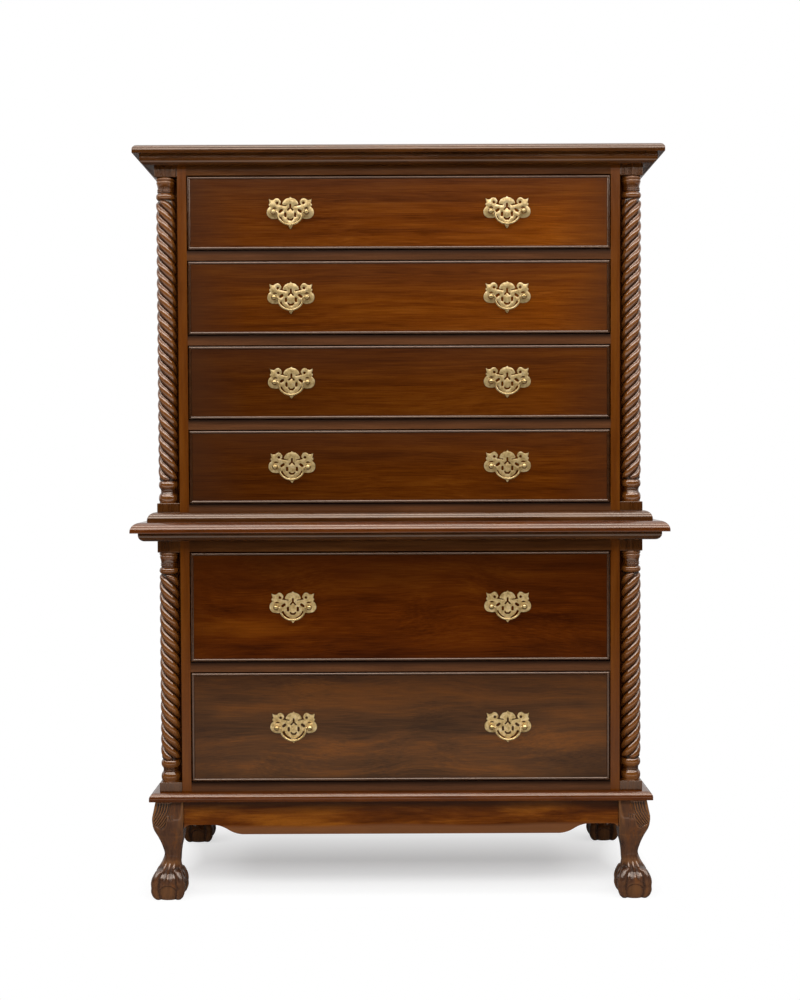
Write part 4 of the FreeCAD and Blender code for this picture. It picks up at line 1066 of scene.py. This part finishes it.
def sideDirections(loop):
    # The directions of the sides before and after each point, as complex numbers of length 1
    place = loop @ np.array([1, 1j])
    before, after = place - np.roll(place, 1), np.roll(place, -1) - place
    return before / np.abs(before), after / np.abs(after)


def joinedLoops(loops):
    # The outlines of the brass, metal on their left: piercings that overlap become one
    points, triangles = filledLoops(loops)
    taken = {(one, other) for a, b, c in triangles.tolist() for one, other in ((a, b), (b, c), (c, a))}
    follow = {one: other for one, other in taken if (other, one) not in taken}
    joined = []
    while follow:
        chain = [min(follow)]
        while follow[chain[-1]] != chain[0]:
            chain.append(follow.pop(chain[-1]))
        follow.pop(chain[-1])
        loop = points[chain]
        before, after = sideDirections(loop)
        # A piercing keeps its sharp corners and loses the points close beside them
        corners = loop[(before * after.conj()).real < 0.75]
        if len(corners) and len(loop) < 100:
            gap = np.linalg.norm(loop[:, None] - corners[None], axis=2).min(axis=1)
            loop = loop[(gap < 1e-6) | (gap > pullLook["cornerGap"])]
        joined.append(loop)
    return sorted(joined, key=lambda loop: -np.ptp(loop[:, 0]))


def insetLoop(loop, amount):
    # Each point moves into the brass along the mean of its two sides' normals
    normal = 1j * sum(sideDirections(loop))
    normal /= np.abs(normal)
    return loop + amount * np.column_stack([normal.real, normal.imag])


def plateShell():
    # Rings step from the inset front face round the rim to the back on the plane Y = 0
    edge, thickness = pullLook["plateEdge"], pullLook["plate"]
    steps = [(edge, thickness), (edge * 0.3, thickness - edge * 0.3), (0.0, thickness - edge), (0.0, 0.0)]
    loops = joinedLoops(plateLoops())
    count = sum(len(loop) for loop in loops)
    points, faceSets = [], []
    for inset, height in steps:
        ring = np.concatenate([insetLoop(loop, inset) for loop in loops])
        points.append(np.column_stack([ring[:, 0], np.full(count, -height), ring[:, 1]]))
    for step in range(len(steps) - 1):
        for ring in ringNumbers(loops):
            low, high = ring + step * count, ring + (step + 1) * count
            faceSets.append(np.column_stack([high, np.roll(high, -1), np.roll(low, -1), low]))
    front = filledLoops([insetLoop(loop, edge) for loop in loops])[1]
    back = filledLoops(loops)[1][:, ::-1] + (len(steps) - 1) * count
    return facedOut(np.concatenate(points), faceSets + [front, back])


def postShell():
    # Ball head on a neck and collar in front of the plate, stem through the front, nut inside
    ball, neck, collar, stem = (pullLook[key] for key in ("ball", "neck", "collar", "stem"))
    plate, stemEnd = -pullLook["plate"], pullLook["stemEnd"]
    angle = np.linspace(math.pi, math.asin(neck / ball), 22)
    head = np.column_stack([ball * np.sin(angle), plate - pullLook["standOff"] + ball * np.cos(angle)])
    collarTop = plate - pullLook["collarLength"]
    foot = [
        (neck, collarTop - 0.8), (neck + 0.3, collarTop), (collar - 0.5, plate - 0.7),
        (collar, plate - 0.5), (collar, plate - 0.05), (stem, plate - 0.05),
        (stem, stemEnd - 0.4), (stem - 0.4, stemEnd), (0.0, stemEnd),
    ]
    low = pullLook["frontThickness"]
    high = low + pullLook["nutThickness"]
    wide = pullLook["nut"] / 2 / math.cos(math.pi / 6)
    nut = [(stem, low), (wide - 0.3, low), (wide, low + 0.3)]
    nut += [(wide, high - 0.3), (wide - 0.3, high), (stem, high)]
    return [latheShell(np.concatenate([head, foot]), 32, True), latheShell(nut, 6, True)]


def pullPick(middles):
    # Posts polished, the plate's front plain, its rims and back painted dark as shade
    front = faceY - pullLook["plate"]
    away = (middles[:, 1] > front + 0.05).astype(int) * 2
    return np.where(middles[:, 1] < front - 0.1, 1, away)


plate = plateShell()
postParts = postShell()
for name in drawerNames:
    shells = []
    for side in (-1, 1):
        place = side * pullLook["place"]
        shells.append(shifted(plate, (place, faceY, drawerMiddles[name])))
        for post in (-1, 1):
            postX = place + post * pullLook["posts"]
            shells += [shifted(part, (postX, faceY, drawerMiddles[name])) for part in postParts]
    meshPiece(
        name + "_pulls", mergedShells(shells), [plateBrass, knobBrass, paintedShadeRimBrass], name + "_pull_plates",
        name, 38, pick=pullPick,
    )
print("plates made")

bailLook = {
    "radius": 2.1,
    "drop": 24.4,
    "halfWidth": 24.0,
    "sideRadius": 19.0,
    "bottomRadius": 26.0,
    "endAngle": math.radians(2.0),
    "pinEnd": 33.5,
}


def bailPath():
    # Pin, elbow, side arc and half the bottom arc, tangent to each other, then the mirror image
    side, end, pinEnd = bailLook["sideRadius"], bailLook["endAngle"], bailLook["pinEnd"]
    sideX = bailLook["halfWidth"] - side
    bottomZ = bailLook["bottomRadius"] - bailLook["drop"]
    sideZ = bottomZ - math.sqrt((bailLook["bottomRadius"] - side) ** 2 - sideX**2)
    elbow = (-sideZ - side * math.sin(end)) / (1 + math.sin(end))
    elbowX = sideX + (side + elbow) * math.cos(end)
    meet = math.atan2(bottomZ - sideZ, sideX)

    def circle(centreX, centreZ, radius, start, stop, steps):
        angle = np.linspace(start, stop, steps)
        return np.column_stack([centreX + radius * np.cos(angle), centreZ + radius * np.sin(angle)])

    right = joinedPath([
        [(pinEnd, 0.0), ((pinEnd + elbowX) / 2, 0.0)],
        circle(elbowX, -elbow, elbow, math.pi / 2, math.pi + end, 12),
        circle(sideX, sideZ, side, end, -meet, 22),
        circle(0, bottomZ, bailLook["bottomRadius"], -meet, -math.pi / 2, 12),
    ])
    return np.concatenate([right, right[::-1][1:] * np.array([-1, 1])])


def bailShell():
    # Round tube: centre + r (cos a n + sin a Y), n square to the path in its own plane
    path = bailPath()
    run = np.gradient(path, axis=0)
    run /= np.linalg.norm(run, axis=1)[:, None]
    square = np.column_stack([-run[:, 1], run[:, 0]])
    angle = np.linspace(0, 2 * math.pi, 20, endpoint=False)
    radius = bailLook["radius"]
    x = path[:, :1] + radius * square[:, :1] * np.cos(angle)
    z = path[:, 1:] + radius * square[:, 1:] * np.cos(angle)
    y = radius * np.sin(angle) + 0 * x
    return gridShell(np.stack([x, y, z], axis=-1))


bail = bailShell()
headY = faceY - pullLook["plate"] - pullLook["standOff"]
for name in drawerNames:
    for sideName, side in (("left", -1), ("right", 1)):
        body = name + "_bail_" + sideName
        shell = shifted(bail, (side * pullLook["place"], headY, drawerMiddles[name]))
        meshPiece(body + "_look", shell, [bailBrass], body, body, 50)
print("bails made")

# The frame's own pieces that stay on show
for material, nodes in (
    (caseZ, ("upper_side_left", "upper_side_right", "lower_side_left", "lower_side_right")),
    (innerZ, ("upper_back", "lower_back")),
    (innerY, ("upper_runners", "lower_runners")),
    (innerX, ("drawer_stops", "corner_blocks", "rear_apron")),
):
    for node in nodes:
        dressNode(node, material)

# Zones are places in metres or directions between which a shade changes
stageLook = {
    "floor": ((-9, -3.1), (9, 9)),
    "floorGlow": 0.4,
    "floorColour": 0.8,
    "floorNear": 0.06,
    "floorFar": 0.85,
    "nearZone": (-1.0, -1.2),
    "farZone": (-1.2, -2.2),
    "farShades": (1.35, 0.7),
    "sideZone": (0.42, 0.53),
    "rowZones": ((0.04, -0.26), (0.06, 0.46)),
    "sky": 0.33,
    "room": 0.015,
    "ceiling": 2.2,
    "ceilingZone": (0.55, 0.8),
    "wall": 1.0,
    "wallZone": (-0.1, 0.5),
}
(west, south), (east, north) = stageLook["floor"]
stageMesh = bpy.data.meshes.new("floor")
corners = [(west, south, 0), (east, south, 0), (east, north, 0), (west, north, 0)]
stageMesh.from_pydata(corners, [], [(0, 1, 2, 3)])
floor = linked("floor", stageMesh)
floorWhite = Wiring(bpy.data.materials.new("floorWhite"))
rays = floorWhite.node("LightPath").outputs
direct = floorWhite.larger(rays["Is Camera Ray"], rays["Is Transmission Ray"])
floorWhite.finished({
    "Base Color": [stageLook["floorColour"]] * 3,
    "Roughness": 0.9,
    "Specular IOR Level": 0.0,
    "Emission Color": (1, 1, 1),
    "Emission Strength": floorWhite.times(direct, stageLook["floorGlow"]),
})
# A glossy ray sees a floor that is dim close to the chest and bright farther in front of it
place = floorWhite.parts(floorWhite.objectPlace())
far = floorWhite.ranged(place[1], *stageLook["nearZone"], stageLook["floorNear"], stageLook["floorFar"])
far = floorWhite.times(far, floorWhite.ranged(place[1], *stageLook["farZone"], *stageLook["farShades"]))
plain = floorWhite.tree.nodes["Principled BSDF"].outputs[0]
chosen = floorWhite.blended(rays["Is Glossy Ray"], plain, floorWhite.out("Emission", {"Strength": far}))
# Away from the chest the floor fades into the white backdrop
fade = floorWhite.ranged(floorWhite.maths("ABSOLUTE", place[0]), *stageLook["sideZone"], 0.0, 1.0)
for near, away in stageLook["rowZones"]:
    fade = floorWhite.larger(fade, floorWhite.ranged(place[1], near, away, 0.0, 1.0))
blank = floorWhite.out("Emission", {"Strength": 1.0})
faded = floorWhite.blended(floorWhite.times(fade, direct), chosen, blank)
floorWhite.put(floorWhite.tree.nodes["Material Output"].inputs[0], faded)
stageMesh.materials.append(floorWhite.owner)

# Gloss sees a dim room in front, a bright ceiling above and a white wall behind
room = Wiring(bpy.data.worlds.new("softRoom"))
bpy.context.scene.world = room.owner
rays = room.node("LightPath").outputs
direction = room.parts(room.node("TexCoord").outputs["Generated"])
ceiling = room.ranged(direction[2], *stageLook["ceilingZone"], stageLook["room"], stageLook["ceiling"])
wall = room.ranged(direction[1], *stageLook["wallZone"], 0.0, stageLook["wall"])
reflected = room.out("Background", {"Strength": room.larger(ceiling, wall)})
sky = room.out("Background", {"Color": (1, 1, 1), "Strength": stageLook["sky"]})
white = room.out("Background", {"Color": (1, 1, 1), "Strength": 1.0})
seen = room.larger(rays["Is Camera Ray"], rays["Is Transmission Ray"])
chosen = room.blended(seen, room.blended(rays["Is Glossy Ray"], sky, reflected), white)
room.put(room.tree.nodes["World Output"].inputs["Surface"], chosen)

# Each lamp's place, what it looks at, its width and height, its power, and whether gloss shows it
lamps = {
    "overhead": ((0, -0.9, 3.3), (0, -0.1, 0.6), (3.2, 0.35), 20.0, True),
    "highFront": ((0, -2.4, 2.45), (0, -0.2, 0.8), (4.2, 0.8), 50.0, True),
    "frontFill": ((0, -4.4, 1.6), (0, 0, 0.6), (3.0, 1.2), 14.0, False),
    "leftHigh": ((-2.7, -1.2, 2.3), (0, 0, 0.8), (2.2, 0.7), 20.0, True),
    "rightHigh": ((2.7, -1.2, 2.3), (0, 0, 0.8), (2.2, 0.7), 20.0, True),
}
for name, (place, target, size, power, glossy) in lamps.items():
    light = bpy.data.lights.new(name, "AREA")
    light.shape = "RECTANGLE"
    light.size, light.size_y = size
    light.energy = power
    lamp = linked(name, light)
    lamp.location = place
    lamp.rotation_euler = (Vector(target) - Vector(place)).to_track_quat("-Z", "Y").to_euler()
    lamp.visible_glossy = glossy

# The camera stands before the chest a little above its middle and looks slightly down
cameraLook = {"place": (-0.9, -2628.2, 863.2), "yaw": -0.027, "pitch": 1.734, "roll": -0.238, "lens": 48.49}
camera = linked("camera", bpy.data.cameras.new("camera"))
camera.data.sensor_width = 36
camera.data.lens = cameraLook["lens"]
yaw, pitch, roll = (math.radians(cameraLook[key]) for key in ("yaw", "pitch", "roll"))
stand = Matrix.Translation(Vector(cameraLook["place"]) * mm + Vector((0, faceY * mm, 0)))
tilt = Matrix.Rotation(math.pi / 2 - pitch, 4, "X") @ Matrix.Rotation(roll, 4, "Z")
camera.matrix_world = stand @ Matrix.Rotation(yaw, 4, "Z") @ tilt
bpy.context.scene.camera = camera
bpy.context.scene.view_settings.view_transform = "Standard"
print("stage made")
